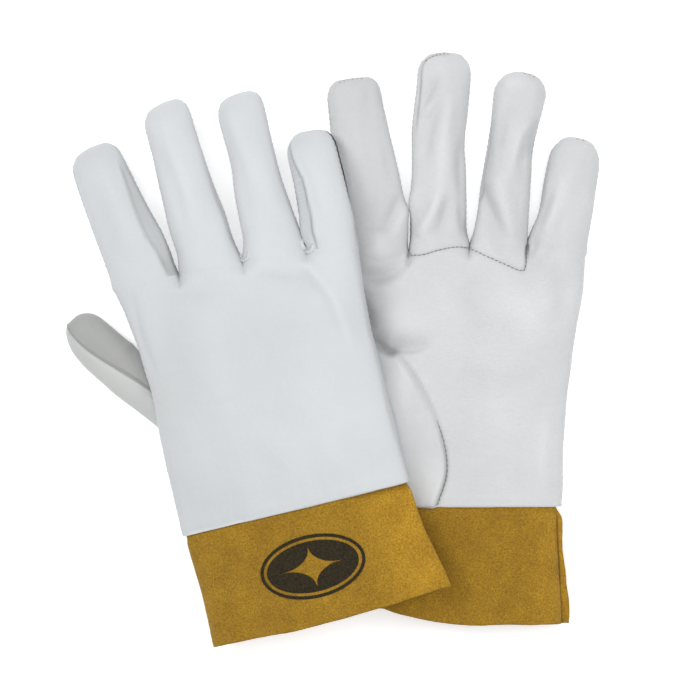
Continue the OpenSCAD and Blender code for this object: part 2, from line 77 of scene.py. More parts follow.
# per glove and finger: tip (x, y), width, droop of the tip
TIPS = [array([(-54.2, 194.2), (-13.7, 206.3), (21.6, 201.5), (51.6, 174.5)], float),
        array([(-43, 208.2), (0.2, 220.4), (36.8, 210.9), (64.6, 179)], float)]
WIDTHS = [[26.5, 26, 24, 24.6], [27, 26, 25, 25.6]]
DROOPS = [[9, 11, 13, 10.8], [3, 4, 4, 3]]
# roundness of the tip outline, and how far the tip slants
TIP_POWERS = [[2.6, 2.6, 2.7, 2.5], [3.2, 2.3, 2.15, 2.15]]
TIP_SKEWS = [[0.2, 1.6, 0.8, 0.6], [0.0, 0.6, 0.4, -0.4]]
# offsets of both finger sides from the finger's line, at these shares of its length
STATIONS = [0.1, 0.25, 0.4, 0.55, 0.7, 0.85]
EDGES = [[
    [[-15.7, -15.6, -15.4, -15.2, -14.7, -14.0], [17.9, 17.8, 16.0, 14.7, 13.5, 12.3]],
    [[-14.7, -15.2, -14.2, -14.1, -13.7, -14.0], [14.5, 14.2, 12.5, 11.8, 11.7, 11.0]],
    [[-13.8, -13.6, -13.3, -11.9, -12.1, -12.9], [15.4, 13.9, 12.4, 11.8, 11.2, 11.1]],
    [[-15.0, -13.5, -12.8, -12.7, -13.5, -13.8], [13.4, 13.6, 13.2, 12.6, 11.9, 11.0]]], [
    [[-15.2, -15.2, -15.2, -15.2, -15.2, -14.9], [16.4, 17.0, 16.1, 14.8, 13.4, 12.8]],
    [[-14.5, -15.2, -14.2, -14.6, -13.7, -12.8], [13.6, 13.6, 13.0, 11.6, 13.6, 14.2]],
    [[-12.5, -12.2, -11.8, -11.3, -11.1, -11.6], [13.3, 13.2, 12.8, 12.3, 13.8, 15.4]],
    [[-13.8, -12.5, -11.4, -11.6, -11.7, -11.5], [13.8, 14.3, 14.5, 14.3, 14.2, 13.5]]]]
# (y, x) of the outer edges of the hand, per glove
EDGE_THUMB = [[(0, -57.5), (32, -56.8), (52, -55.4), (72, -54.4), (92, -55.3), (113, -58),
               (122, -60)],
              [(0, -57.5), (30, -57), (60, -56), (90, -52), (118, -46.5)]]
EDGE_FAR = [[(0, 57.5), (34, 57), (54, 57.4), (73, 57.2), (93, 58.6), (114, 60.8)],
            [(0, 58.6), (10, 59.3), (27, 59.3), (46, 60.6), (75, 64.2), (104, 69.2),
             (121, 70.2)]]

# thumb, per glove: line from root to tip, half of the root, height at root and tip
THUMB_ROOT = [array([-52.5, 64.]), array([-59.3, 64.])]
THUMB_TIP = [array([-86.5, 113.5]), array([-88., 110.])]
THUMB_HALF_ROOT = [array([1.2, 15.]), array([1.0, 14.5])]
THUMB_Z = [(-11.7, -8.4), (0.8, 1.6)]
THUMB_WIDTH = 24.
THUMB_SPLIT = 12.0      # border of the lower and upper thumb
THUMB_HEEL = 30         # length of the root inside the palm

CUFF_THICK = 1.4
CUFF_LENGTH = 57.0
CUFF_TOP = 5            # y of the cuff's upper edge, inside the hand
CUFF_POWER = 0.72       # squareness of the band's section
CUFF_SHIFT = [1.6, 0.2]     # sideways drift towards the lower edge, per glove


# ---------------------------------------------------------------- small maths
def xyz(x, y, z):
    return np.stack(np.broadcast_arrays(x, y, z), -1)


def ease(share):
    share = np.clip(share, 0, 1)
    return share * share * (3 - 2 * share)


def mix(low, high, share):
    return low * (1 - share) + high * share


def oval(offset, power):
    return np.maximum(0, 1 - np.abs(offset) ** power) ** (1 / power)


def squared(value, power):
    """A sine or cosine with its corners pushed out."""
    return np.sign(value) * np.abs(value) ** power


def bell(offset, width):
    return np.exp(-(offset / width) ** 2)


def wave_of(length, pitch):
    return np.sin(length * 2 * np.pi / pitch)


def turn_z(angle):
    c, s = math.cos(angle), math.sin(angle)
    return array([[c, -s, 0], [s, c, 0], [0, 0, 1]])


def turn_y(angle):
    c, s = math.cos(angle), math.sin(angle)
    return array([[c, 0, s], [0, 1, 0], [-s, 0, c]])


AXES = [turn_z(TURN) @ turn_y(-LEAN), np.diag([1., 1., -1.])]


def place(glove, spots):
    """Glove frame to shared frame, in millimetres."""
    return spots @ AXES[glove].T + ORIGINS[glove]


def place_metres(glove, xy):
    spot = place(glove, array([[xy[0], xy[1], 0.0]]))[0] * MM
    return tuple(float(c) for c in spot)


# ---------------------------------------------------------------- noise
def cell_value(i, j, k, seed):
    mixed = (i * 374761393 + j * 668265263 + k * 1442695041 + seed * 1274126177) & 0xffffffff
    mixed = ((mixed ^ (mixed >> 13)) * 1274126177) & 0xffffffff
    return ((mixed ^ (mixed >> 16)) & 0xffffff) / float(0xffffff)


def value_noise(spots, seed):
    cell = np.floor(spots).astype(np.int64)
    part = spots - cell
    part = part * part * part * (part * (part * 6 - 15) + 10)
    total = 0
    for corner in product((0, 1), repeat=3):
        weight = np.prod(np.where(corner, part, 1 - part), axis=1)
        total = total + weight * cell_value(*(cell + corner).T, seed)
    return total * 2 - 1


def soft_noise(spots, seed, octaves):
    total, height = 0, 1.0
    for octave in range(octaves):
        total = total + height * value_noise(spots, seed + 17 * octave)
        spots = spots * 2.03 + 11.3
        height *= 0.5
    return total


def ridge_noise(spots, seed):
    total, height = 0, 1.0
    for octave in range(2):
        noise = value_noise(spots, seed + 31 * octave)
        total = total + height * (1 - np.abs(noise) * 2.2).clip(0, 1) ** 2
        spots = spots * 1.9 + 5.7
        height *= 0.55
    return total


# ---------------------------------------------------------------- paths in the glove plane
def path_offset(x, y, path):
    """Distance to a path, signed offset to its left, and share along it."""
    nearest = np.full(x.shape, 1e9)
    left = np.zeros(x.shape)
    share = np.zeros(x.shape)
    lengths = np.linalg.norm(np.diff(path, axis=0), axis=1)
    done = 0.0
    for start, end, length in zip(path, path[1:], lengths):
        way = (end - start) / length
        along = np.clip((x - start[0]) * way[0] + (y - start[1]) * way[1], 0, length)
        off_x = x - start[0] - along * way[0]
        off_y = y - start[1] - along * way[1]
        distance = np.hypot(off_x, off_y)
        closer = distance < nearest
        nearest = np.where(closer, distance, nearest)
        left = np.where(closer, np.sign(way[0] * off_y - way[1] * off_x) * distance, left)
        share = np.where(closer, (done + along) / lengths.sum(), share)
        done += length
    return nearest, left, share


def smooth_path(corners, count):
    """Catmull-Rom curve through the corners, as count samples."""
    p = array(corners, float)
    p = np.vstack([2 * p[0] - p[1], p, 2 * p[-1] - p[-2]])
    samples = []
    for place_on in np.linspace(0, len(p) - 3 - 1e-6, count):
        i = int(place_on)
        t = place_on - i
        a, b, c, d = p[i:i + 4]
        samples.append(0.5 * (2 * b + (c - a) * t + (2 * a - 5 * b + 4 * c - d) * t * t
                              + (3 * b - a - 3 * c + d) * t ** 3))
    return array(samples)


def resample(path, step):
    lengths = np.linalg.norm(np.diff(path, axis=0), axis=1)
    reached = np.concatenate([[0], np.cumsum(lengths)])
    count = max(2, int(reached[-1] / step) + 1)
    wanted = np.linspace(0, reached[-1], count)
    return np.stack([np.interp(wanted, reached, axis) for axis in path.T], -1)


# ---------------------------------------------------------------- plain glove surface
class Finger:
    """One finger: its line from the crotches to the tip, and its measures."""

    def __init__(self, glove, index):
        near, far = CROTCH[glove][index:index + 2]
        self.glove, self.index, self.name = glove, index, FINGER_NAMES[index]
        self.base = (near + far) / 2
        self.half_root = (far - near) / 2
        reach = TIPS[glove][index] - self.base
        self.length = float(np.linalg.norm(reach))
        self.way = reach / self.length
        self.normal = array([self.way[1], -self.way[0]])    # towards the little-finger side
        self.width = WIDTHS[glove][index]
        self.edges = EDGES[glove][index]
        little = index == 3
        self.low_fold = 9.0 if little else 11.0
        self.high_fold = 0.47 * self.length + 1
        self.split = self.low_fold * 2 + (0 if little else 0.5)

    def cap(self, along):
        """Share of the way into the rounded tip, and the narrowing there."""
        radius = self.width * 0.5
        into = np.clip((along - self.length + radius) / radius, 0, 1)
        return into, oval(into, TIP_POWERS[self.glove][self.index])

    def at(self, along):
        return place_metres(self.glove, self.base + self.way * along)

    def surface(self, side, across, along):
        """across runs -1 to 1 towards the little finger, along in mm from the root."""
        share = along / self.length
        into, narrow = self.cap(along)
        low, high = (sum(np.interp(share + shift, STATIONS, edge)
                         for shift in (-0.06, -0.03, 0, 0.03, 0.06)) / 5
                     for edge in self.edges)
        half = (high - low) / 2 * narrow
        spread = ease(along / 13)[:, None]
        lateral = mix(self.half_root, self.normal * half[:, None], spread)
        thick = (mix(HALF_FINGER, HALF_FINGER - 0.9, ease((along - 10) / self.length))
                 * oval(into, 2.1))
        middle = (self.base + self.way * along[:, None]
                  + self.normal * ((high + low) / 2)[:, None] * spread)
        skew = TIP_SKEWS[self.glove][self.index] * across * narrow * ease((share - 0.55) / 0.45)
        flat = middle + lateral * across[:, None] + self.way * skew[:, None]
        z = -DROOPS[self.glove][self.index] * share ** 2 + side * thick * oval(across, 2.2)
        return xyz(flat[:, 0], flat[:, 1], z)


FINGERS = [[Finger(glove, index) for index in range(4)] for glove in (RIGHT, LEFT)]


def hand_half(up):
    return HALF_HAND * mix(0.84, 1, ease(up / 0.3)) * mix(1, 0.93, ease((up - 0.7) / 0.3))


def sag(glove, x, y):
    """Drop of the right glove's lower corner on the thumb side."""
    if glove == LEFT:
        return 0.0
    return -8 * ease((70 - y) / 125) * ease((20 - x) / 76)


def thumb_dent(glove, side, x, y):
    """The right palm is thinner where the thumb joins it."""
    if glove == LEFT or side == BACK:
        return 1.0
    return 1 - 0.5 * np.exp(-((x + 58) / 12) ** 2 - ((y - 64) / 26) ** 2)


def hand_surface(glove, side, column, up):
    """column runs 0 to 4 over the finger columns, up 0 to 1 from the cuff seam to the crotches."""
    index = np.clip(np.floor(column - 1e-9), 0, 3).astype(int)
    across = (column - index) * 2 - 1
    whole = column / 2 - 1
    crotch = CROTCH[glove]

    def border(number):
        y = up * crotch[number, 1]
        thumb_edge = np.interp(y, *zip(*EDGE_THUMB[glove]))
        far_edge = np.interp(y, *zip(*EDGE_FAR[glove]))
        inner = mix(HALF_WIDTH * (number / 2 - 1), crotch[number, 0], up)
        x = np.where(number == 0, thumb_edge, np.where(number == 4, far_edge, inner))
        return x, y

    x0, y0 = border(index)
    x1, y1 = border(index + 1)
    share = (across + 1) / 2
    x, y = mix(x0, x1, share), mix(y0, y1, share)
    outer = ((index == 0) & (across < 0)) | ((index == 3) & (across > 0))
    # one oval over the whole hand turns into one per finger near the crotches
    column_oval = oval(across, 2.2)
    wide = mix(oval(whole, 3 if side == BACK else 2.5), np.where(outer, column_oval, 1.0),
               ease((up - 0.6) / 0.4))
    parted = ease((up - 0.925) / 0.075) ** 1.3
    thick = (mix(hand_half(up), HALF_FINGER, ease((up - 0.7) / 0.28)) * wide
             * np.where(outer, 1.0, mix(1.0, column_oval, parted)))
    return xyz(x, y, sag(glove, x, y) + side * thick * thumb_dent(glove, side, x, y))


def thumb_line(glove):
    reach = THUMB_TIP[glove] - THUMB_ROOT[glove]
    length = float(np.linalg.norm(reach))
    return length, reach / length


def thumb_surface(glove, angle, along):
    """angle is 0 on the finger side and 90 degrees on top; along below 0 is in the palm."""
    length, way = thumb_line(glove)
    normal = array([way[1], -way[0]])
    cap = THUMB_WIDTH * 0.52
    long_cap = 26
    into = np.clip((along - length + cap) / cap, 0, 1)
    narrow = oval(into, 2.3)
    if glove == RIGHT:
        into_long = np.clip((along - length + long_cap) / long_cap, 0, 1)
        narrow = np.where(np.cos(angle) < 0, oval(into_long, 2.05), narrow)
    ahead = np.maximum(along, 0)
    lateral = mix(THUMB_HALF_ROOT[glove], normal * (THUMB_WIDTH / 2 * narrow)[:, None],
                  ease(ahead / 22)[:, None])
    z = mix(*THUMB_Z[glove], ahead / length)
    thick = HALF_THUMB * oval(into, 2.1)
    # the root runs into the heel of the palm
    heel = np.clip(-along / THUMB_HEEL, 0, 1)
    if glove == RIGHT:
        inward = array([21., -17.])
        lateral = lateral * (1 + 0.35 * heel * (1 - heel) * 4 - 0.25 * heel)[:, None]
        z = z + 7.5 * ease(heel)
        thick = thick * (1 - 0.35 * heel)
    else:
        inward = array([17., -9.])
        lateral = lateral * (1 - 0.15 * heel)[:, None]
        z = z * (1 - heel)
        thick = thick * (1 - 0.4 * heel)
    middle = THUMB_ROOT[glove] + way * ahead[:, None] + inward * heel[:, None]
    flat = middle + lateral * squared(np.cos(angle), 0.91)[:, None]
    return xyz(flat[:, 0], flat[:, 1], z + thick * squared(np.sin(angle), 0.91))


# ---------------------------------------------------------------- seams and folds
# edge of the thumb wing on the palm, from the thumb down to the cuff
WING = smooth_path([(-26, 74), (-19.6, 70.2), (-13.3, 61.6), (-6.5, 48.5), (-1.7, 36.4),
                    (1.2, 24.2), (1.0, 13), (-3.6, -1)], 60)
# palm seams under the middle and the ring finger, per glove
ROOT_SEAMS = [
    [smooth_path([(-26.0, 121), (-16, 118.6), (-6, 118.8), (5, 118.6)], 30),
     smooth_path([(5.5, 119), (14, 117.5), (24, 112.5), (34.5, 108.5), (36.2, 117.5)], 40)],
    [smooth_path([(-16.4, 121.6), (-10.5, 121.4), (-3, 123.4), (5, 125.2), (12.6, 125)], 34),
     smooth_path([(13.6, 124.4), (21, 120.6), (30, 116.6), (37.4, 113.6), (39.6, 115.4),
                  (40.8, 126)], 44)]]
# folds: (path, width, height[, width on the right-hand side of the path])
FOLDS = {
    (RIGHT, BACK): [
        ([(-52, 186), (-46, 166), (-42, 140)], 5.0, 0.7),
        ([(-58, 176), (-54, 152), (-50, 132)], 4.0, -0.7),
        ([(-17, 196), (-12, 170), (-12, 140)], 4.5, 0.6),
        ([(-22, 184), (-18, 164), (-17, 144)], 3.5, -0.7),
        ([(17, 190), (22, 168), (26, 140)], 4.5, 0.7),
        ([(12, 178), (14, 158), (15, 136)], 3.5, -0.7),
        ([(50, 162), (52, 146), (52, 128)], 4.5, 0.6),
        ([(-30, 112), (-16, 106), (0, 110)], 6.0, -0.8),
        ([(12, 112), (26, 104), (36, 96)], 5.0, -0.9),
        ([(30, 116), (37, 108), (44, 92), (47, 66)], 3.2, 1.3),
        ([(26, 110), (33, 98), (38, 76)], 5.0, -0.45),
        ([(51, 104), (54, 88), (53, 66)], 4.0, -0.6),
        ([(11, 118), (22, 111), (31, 106)], 4.5, 0.8),
        ([(-27, 120), (-36, 101), (-40, 78)], 7.0, -0.7),
        ([(-8, 112), (-20, 84), (-22, 58)], 10.0, 0.7),
        ([(20, 88), (6, 60), (10, 30)], 9.0, -0.8),
        ([(-44, 60), (-38, 34), (-42, 12)], 7.0, 0.7),
        ([(-50, 118), (-51, 98), (-48.5, 78)], 2.0, -0.8),
        ([(36, 40), (26, 22), (34, 6)], 6.0, 0.6),
        ([(-12, 34), (-4, 18), (-10, 4)], 6.0, -0.5)],
    (RIGHT, PALM): [
        ([(-40, 96), (-22, 90), (-6, 96)], 3.5, -1.4),
        ([(28, 104), (40, 90), (50, 84)], 4.0, -1.0),
        ([(10, 80), (22, 60), (20, 34)], 7.0, -0.9)],
    (LEFT, PALM): [
        ([(-38, 82), (-32.7, 78.6), (-29.3, 75.7), (-26.4, 74.2), (-22, 75.2), (-17.2, 74.8),
          (-12.3, 75.6), (-7, 78)], 6.0, -2.6, 1.5),
        ([(-36, 81.5), (-31, 77), (-27, 74.6), (-23, 74.6)], 1.6, -1.6),
        ([(-40, 92), (-32, 89), (-20, 88), (-6, 90)], 7.0, 0.5),
        ([(-46, 104), (-40, 92), (-36, 84)], 5.0, -2.6),
        ([(-43, 113), (-32.7, 110.2), (-24.4, 112.4), (-19.6, 117.0), (-18.2, 120.5)],
         4.6, -2.7, 3.0),
        ([(-31, 134), (-31.5, 127), (-33, 119)], 6.0, 1.4),
        ([(-20, 150), (-25, 140), (-30, 132)], 3.2, -1.1),
        ([(-14, 152), (-19, 142), (-22, 132)], 3.0, 0.9),
        ([(-2, 200), (-6, 184), (-10, 166)], 3.0, -1.0),
        ([(4, 200), (1, 180), (-1, 160), (-3, 146)], 4.0, 1.0),
        ([(9, 178), (8, 164), (9, 148)], 2.6, -0.9),
        ([(-10, 194), (-7, 200), (-3, 207)], 1.8, -1.0),
        ([(-9, 188), (-6, 193), (-2, 198)], 1.8, 0.8),
        ([(-2, 150), (-7, 139), (-12, 130)], 3.2, 1.5),
        ([(3, 150), (0, 138), (-4, 129)], 3.0, -1.0),
        ([(8, 148), (10, 137), (12, 130)], 2.6, -0.9),
        ([(34, 192), (29, 184), (26, 172)], 3.0, -0.7),
        ([(42, 186), (37, 178), (34, 166)], 2.6, 0.8),
        ([(36, 186), (33, 172), (33, 156)], 4.0, 0.7),
        ([(18.0, 156), (21.5, 146), (26.5, 136), (30, 128)], 2.8, -1.5),
        ([(23.6, 188), (21.4, 170), (18.7, 150)], 4.6, -0.7),
        ([(46.5, 186), (43.9, 176), (43, 168)], 2.6, -0.9),
        ([(30, 201), (35, 205), (41, 203)], 4.6, 0.7),
        ([(46, 131), (43, 124), (41, 117)], 2.4, -1.2),
        ([(57, 127), (50, 121), (44, 114)], 3.2, -0.8),
        ([(25, 160), (29, 146), (33, 130)], 4.2, 0.9),
        ([(20, 140), (24, 130), (30, 122)], 3.0, -0.9),
        ([(58, 160), (54, 146), (48, 132)], 4.0, 0.9),
        ([(52, 152), (48, 140), (44, 131)], 2.8, -0.9),
        ([(26, 112), (40, 96), (48, 76)], 7.0, 0.9),
        ([(52, 118), (57, 104), (55, 86)], 5.0, -1.2),
        ([(14, 112), (15, 98), (22, 84)], 5.0, -0.7),
        ([(8, 66), (26, 58), (46, 62)], 6.0, -0.8),
        ([(50, 40), (49, 22), (50, 6)], 3.0, 0.9),
        ([(-4, 110), (2, 96), (12, 88)], 5.0, 0.6)],
    (LEFT, BACK): [([(20, 100), (36, 70), (34, 40)], 7.0, 0.4)],
}
WEB_CREASE = smooth_path([(-33.5, 79.8), (-29.5, 76.4), (-26.4, 74.4), (-22.5, 74.8)], 16)


def fold_height(glove, side, x, y):
    total = np.zeros_like(x)
    for path, width, height, *right_width in FOLDS[glove, side]:
        distance, left, share = path_offset(x, y, smooth_path(path, 16))
        if right_width:
            width = np.where(left > 0, width, right_width[0])
        # folds that lie wholly on the fingers of the left palm are stronger
        if glove == LEFT and side == PALM and min(corner[1] for corner in path) > 118:
            height = height * 1.5
        taper = np.sin(np.pi * np.clip(share, 0, 1)) ** 0.6
        total += height * bell(distance, width) * (0.15 + 0.85 * taper)
    return total


# ---------------------------------------------------------------- relief and shade
# Each relief function gives the rise of the leather in mm and a shade painted into the material's
# colour:
# mostly painted shade in hollows, seams and crotches and painted light on raised parts; positive
# is darker, negative is lighter.
def fold_and_side_shade(glove, side, x, fold):
    """Painted shade in the fold bottoms and painted highlight on the fold tops; on the side that
    lies up, darker towards the thumb.
    """
    if glove == LEFT:
        shade = -0.15 * fold + (0.24 * ease((-20 - x) / 14) if side == PALM else 0)
    else:
        shade = 0.03 - 0.08 * fold + (0.17 * ease((-12 - x) / 26) if side == BACK else 0)
    return np.clip(shade, -0.3, 0.6)


def broad_rise(glove, spots):
    return (0.42 * soft_noise(spots / 36, 3 + glove, 2)
            + 0.05 * soft_noise(spots / 9, 9 + glove, 2))


def wing_relief(glove, x, y, spots):
    """The thumb wing, laid over the palm and sewn along its edge."""
    distance, left, share = path_offset(x, y, WING)
    inside = -left      # positive on the thumb side of the seam
    sewn = ease((share - 0.42) / 0.2)
    edge = ease(share / 0.12)
    # padded mound under the wing, and the step at its edge
    mound = bell(x + 26, 17) * bell(np.maximum(np.abs(y - 44) - 12, 0), 22)
    rise = ((3.2 if glove == LEFT else 2.0) * mound * ease((inside + 2) / 6)
            * ease((82 - y) / 20))
    rise += 0.55 * edge * ease(inside + 0.5) * np.exp(-np.maximum(inside, 0) / 10)
    rise += 0.55 * edge * (bell(inside - 3.0, 2.4) - bell(inside + 1.2, 2.0))
    # painted shade under the step at the wing's edge
    shade = 0.34 * edge * bell(inside + 0.9, 0.8)
    # groove of the sewn part, with small ripples beside it and painted shade in it
    rise += sewn * (-0.75 * bell(distance, 0.8) + 0.35 * bell(inside - 1.9, 1.1))
    ripple = np.sin(share * 2 * np.pi * 26 + 2 * soft_noise(spots / 7, 5, 1))
    rise += sewn * 0.07 * ripple * bell(distance - 2.0, 1.6)
    shade += sewn * 0.6 * bell(distance, 0.7)
    if glove == LEFT:
        # painted light on the wing beside the right glove and towards the cuff, with long pulls
        # running up to the thumb
        shade -= ((0.24 * ease((-20 - x) / 14) + 0.34 * ease((-13 - x) / 9)
                   + 0.30 * ease((30 - y) / 18)) * ease((inside - 0.5) / 2) * ease((77 - y) / 5))
        pulls = ridge_noise(xyz((x + 0.30 * y) / 5.0, (y - 0.3 * x) / 30, 0), 71)
        rise -= 0.35 * pulls * ease(inside / 4) * ease((y - 8) / 30) * ease((80 - y) / 14)
    return rise, shade


def root_seam_relief(glove, x, y):
    rise, shade = 0, 0
    for path in ROOT_SEAMS[glove]:
        distance, left, share = path_offset(x, y, path)
        rise += -0.6 * bell(distance, 0.75) + 0.4 * bell(left - 1.6, 1.2)
        rise += 0.04 * np.sin(share * 2 * np.pi * 11) * bell(distance - 2.2, 1.6)
        # painted shade in the seam groove
        shade += 0.45 * bell(distance, 0.65)
    return rise, shade


def web_relief(x, y):
    """Hollow and pinched crease beside the thumb, on the left palm, with painted shade in and
    above the crease and painted light on the palm towards the little finger.
    """
    distance, _, share = path_offset(x, y, WEB_CREASE)
    web = bell(distance, 1.5) * bell(share - 0.55, 0.4)
    rise = -4.2 * bell(x + 42, 11) * bell(y - 92, 14) - 1.0 * web
    shade = 0.9 * web + 0.20 * bell(x + 22, 15) * bell(y - 80, 5)
    shade -= 0.16 * ease((x - 10) / 20) * ease((116 - y) / 20)
    return rise, shade


def crotch_relief(glove, side, x, y):
    """Pulls that run into the crotches, and painted shade at the crotches."""
    rise, shade = 0, 0
    for i in (1, 2, 3):
        off_x, off_y = x - CROTCH[glove][i][0], y - CROTCH[glove][i][1]
        distance = np.hypot(off_x, off_y)
        angle = np.arctan2(off_x, -off_y)
        rise += ((0.22 if glove == LEFT else 0.12)
                 * np.cos(angle * 4 + i * 1.7 + glove + side)
                 * bell(distance - 7, 7) * ease(distance / 5))
        shade += 0.8 * bell(distance, 1.2)
    return rise, shade


def hand_relief(glove, side, surface, column, up):
    x, y = surface[:, 0], surface[:, 1]
    spots = xyz(x, y, side * 40)
    fold = fold_height(glove, side, x, y)
    rise = broad_rise(glove, spots) * mix(1, 1.5, ease((110 - y) / 40)) + fold
    shade = fold_and_side_shade(glove, side, x, fold)
    # long soft wrinkles
    angle = 0.5 * soft_noise(spots / 60, 21 + glove, 1)
    turned_x = x * np.cos(angle) - y * np.sin(angle)
    turned_y = x * np.sin(angle) + y * np.cos(angle)
    if side == PALM:
        rise -= 0.09 * ridge_noise(xyz(turned_x / 17, turned_y / 4.2, side * 40), 40 + glove)
    else:
        rise -= 0.05 * ridge_noise(xyz(turned_x / 9, turned_y / 24, side * 40), 44 + glove)
    features = [crotch_relief(glove, side, x, y)]
    if side == PALM:
        features += [wing_relief(glove, x, y, spots), root_seam_relief(glove, x, y)]
        if glove == LEFT:
            features.append(web_relief(x, y))
    for feature_rise, feature_shade in features:
        rise += feature_rise
        shade += feature_shade
    if glove == RIGHT and side == BACK:
        shade += 0.13 * bell(x + 10, 32) * bell(y - 78, 40)
    # side seam: a narrow groove with small gathers
    edge = np.minimum(column, 4 - column) * 28
    rise += -0.5 * bell(edge, 1.3) + 0.10 * wave_of(y, 3.1) * bell(edge, 3)
    # groove and slight waviness along the lower edge
    from_hem = up * 120
    rise -= 0.25 * bell(from_hem, 1.8)
    rise += (0.35 * soft_noise(xyz(x / 7, 3.3 * side, 0), 61 + glove, 2)
             * np.exp(-from_hem / 9))
    return rise, shade


def little_strip_relief(finger, across, along):
    """Back panel edge over a gathered strip, on the side next to the ring finger, with painted
    shade along the edge, over the strip and in the gathers.
    """
    length = finger.length
    width = np.interp(along, [0, 6, 15.5, 27, 36, 43, 50, 55, length],
                      [6.4, 6.3, 6.0, 5.3, 4.9, 3.3, 2.3, 1.2, -1.0])
    inset = (across + 1) * finger.width / 2
    past = inset - width
    strip = ease((0.5 - past) / 0.9)
    rise = (-0.9 * strip * ease(inset / 3.0) + 0.4 * bell(past - 1.1, 1.0)
            + 0.9 * bell(inset - 2.6, 2.0) * bell(along - 3.2, 2.2))
    noise = soft_noise(xyz(inset / 6, along / 5, 0), 311, 2)
    gather = np.sin(along * 2 * np.pi / 1.75 + 3.0 * noise - inset * 0.35)
    gathered = strip * ease((along - 18) / 10) * ease((length - 8 - along) / 6)
    rise += ((0.22 + 0.1 * noise) * gather * gathered
             * bell(inset - 0.55 * width, np.maximum(0.38 * width + 0.3, 0.3)))
    shade = (bell(past + 0.35, 0.42) * mix(0.55, 1, ease((46 - along) / 26))
             + 0.14 * strip + 0.16 * (0.5 - 0.5 * gather) * gathered)
    return rise, shade


def index_strip_relief(finger, across, along):
    """Sunk strip on the side next to the middle finger, with painted shade over the strip where
    the middle finger shades it.
    """
    length = finger.length
    width = np.interp(along, [0, 8, 20, 35, 50, 62, length],
                      [3.4, 4.6, 6.6, 5.6, 3.6, 2.0, 0.5])
    inset = (1 - across) * 15
    past = inset - width
    shown = ease((length - 10 - along) / 10)
    strip = ease((0.7 - past) / 1.3) * shown
    rise = -0.9 * strip * ease(inset / 2.5) + 0.25 * shown * bell(past - 1.4, 1.3)
    shade = (0.5 * strip + 0.75 * ease((9 - along) / 9) * strip
             + 0.35 * shown * bell(past - 0.2, 0.5) * ease((34 - along) / 20))
    return rise, shade


def middle_welt_relief(finger, across, along):
    """Welt down the index side and round the tip, with painted shade in its groove."""
    into, narrow = finger.cap(along)
    rim = ((np.abs(across) * narrow) ** 2.8 + into ** 2.8) ** (1 / 2.8)
    shown = ease((along - 52) / 14) * ease((0.45 - across) / 0.5)
    rise = shown * (-0.8 * bell(rim - 0.86, 0.035) + 0.35 * bell(rim - 0.93, 0.04)
                    + 0.3 * bell(rim - 0.77, 0.05))
    return rise, shown * 0.8 * bell(rim - 0.86, 0.03)


# (glove, finger, side) of the details found on one finger only
FINGER_DETAILS = {(RIGHT, 3, BACK): little_strip_relief, (RIGHT, 0, BACK): index_strip_relief,
                  (LEFT, 1, PALM): middle_welt_relief}


def finger_relief(finger, side, surface, across, along):
    glove, index, length = finger.glove, finger.index, finger.length
    x, y = surface[:, 0], surface[:, 1]
    fold = fold_height(glove, side, x, y)
    root_rise = broad_rise(glove, xyz(x, y, side * 40)) + fold
    lateral = across * finger.width / 2
    # long facets down the finger
    facets = soft_noise(xyz(lateral / 7.5, along / 34, 7 * index + 3 * side), 80 + glove, 2)
    rise = ((0.6 if glove == LEFT else 0.4) * facets
            * ease(along / 12) * ease((length - along) / 8))
    # cross creases, three at each bend: (place, strength)
    crease_depth, crease_width = (0.28, 1.6) if side == PALM else (0.1, 1.8)
    for bend, strength in ((finger.low_fold + 3, 0.4), (finger.high_fold, 0.6),
                           (0.76 * length, 0.3)):
        bow = 1.6 * across ** 2 + 1.2 * soft_noise(xyz(lateral / 9, bend, index), 33, 1)
        for shift, share in ((0, 1.0), (3.4, 0.55), (-3.2, 0.5)):
            rise -= (crease_depth * strength * share
                     * bell(along - bend - shift - bow, crease_width)
                     * ease(1.15 - np.abs(across)))
    fine = ridge_noise(xyz(lateral / 10, along / 4.0, 5 * index + side), 52 + glove)
    rise -= 0.05 * fine * (1.0 if side == PALM else 0.3)
    # the sides that face the next finger lie in its shade
    shade = fold_and_side_shade(glove, side, x, fold)
    facing = across if index == 0 else -across if index == 3 else np.abs(across)
    shade += (ease(facing * 4) * (0.55 if glove == RIGHT else 0.3)
              * np.exp(-(1 - np.abs(across)) * 8) * ease((20 - along) / 16))
    # side and tip seam with painted shade in its groove, faint where the little finger's strip
    # replaces it
    rim = np.minimum((1 - np.abs(across)) * finger.width * 0.9, length - along)
    place_key = (glove, index, side)
    seam = 1 - 0.9 * ease(-across * 4) if place_key == (RIGHT, 3, BACK) else 1.0
    rise += seam * (-0.45 * bell(rim, 1.1) + 0.12 * wave_of(along, 2.9) * bell(rim, 2.6))
    shade += seam * 0.5 * bell(rim, 0.7)
    if place_key in FINGER_DETAILS:
        detail_rise, detail_shade = FINGER_DETAILS[place_key](finger, across, along)
        rise += detail_rise
        shade += detail_shade
    return root_rise + rise * ease(along / 7), shade


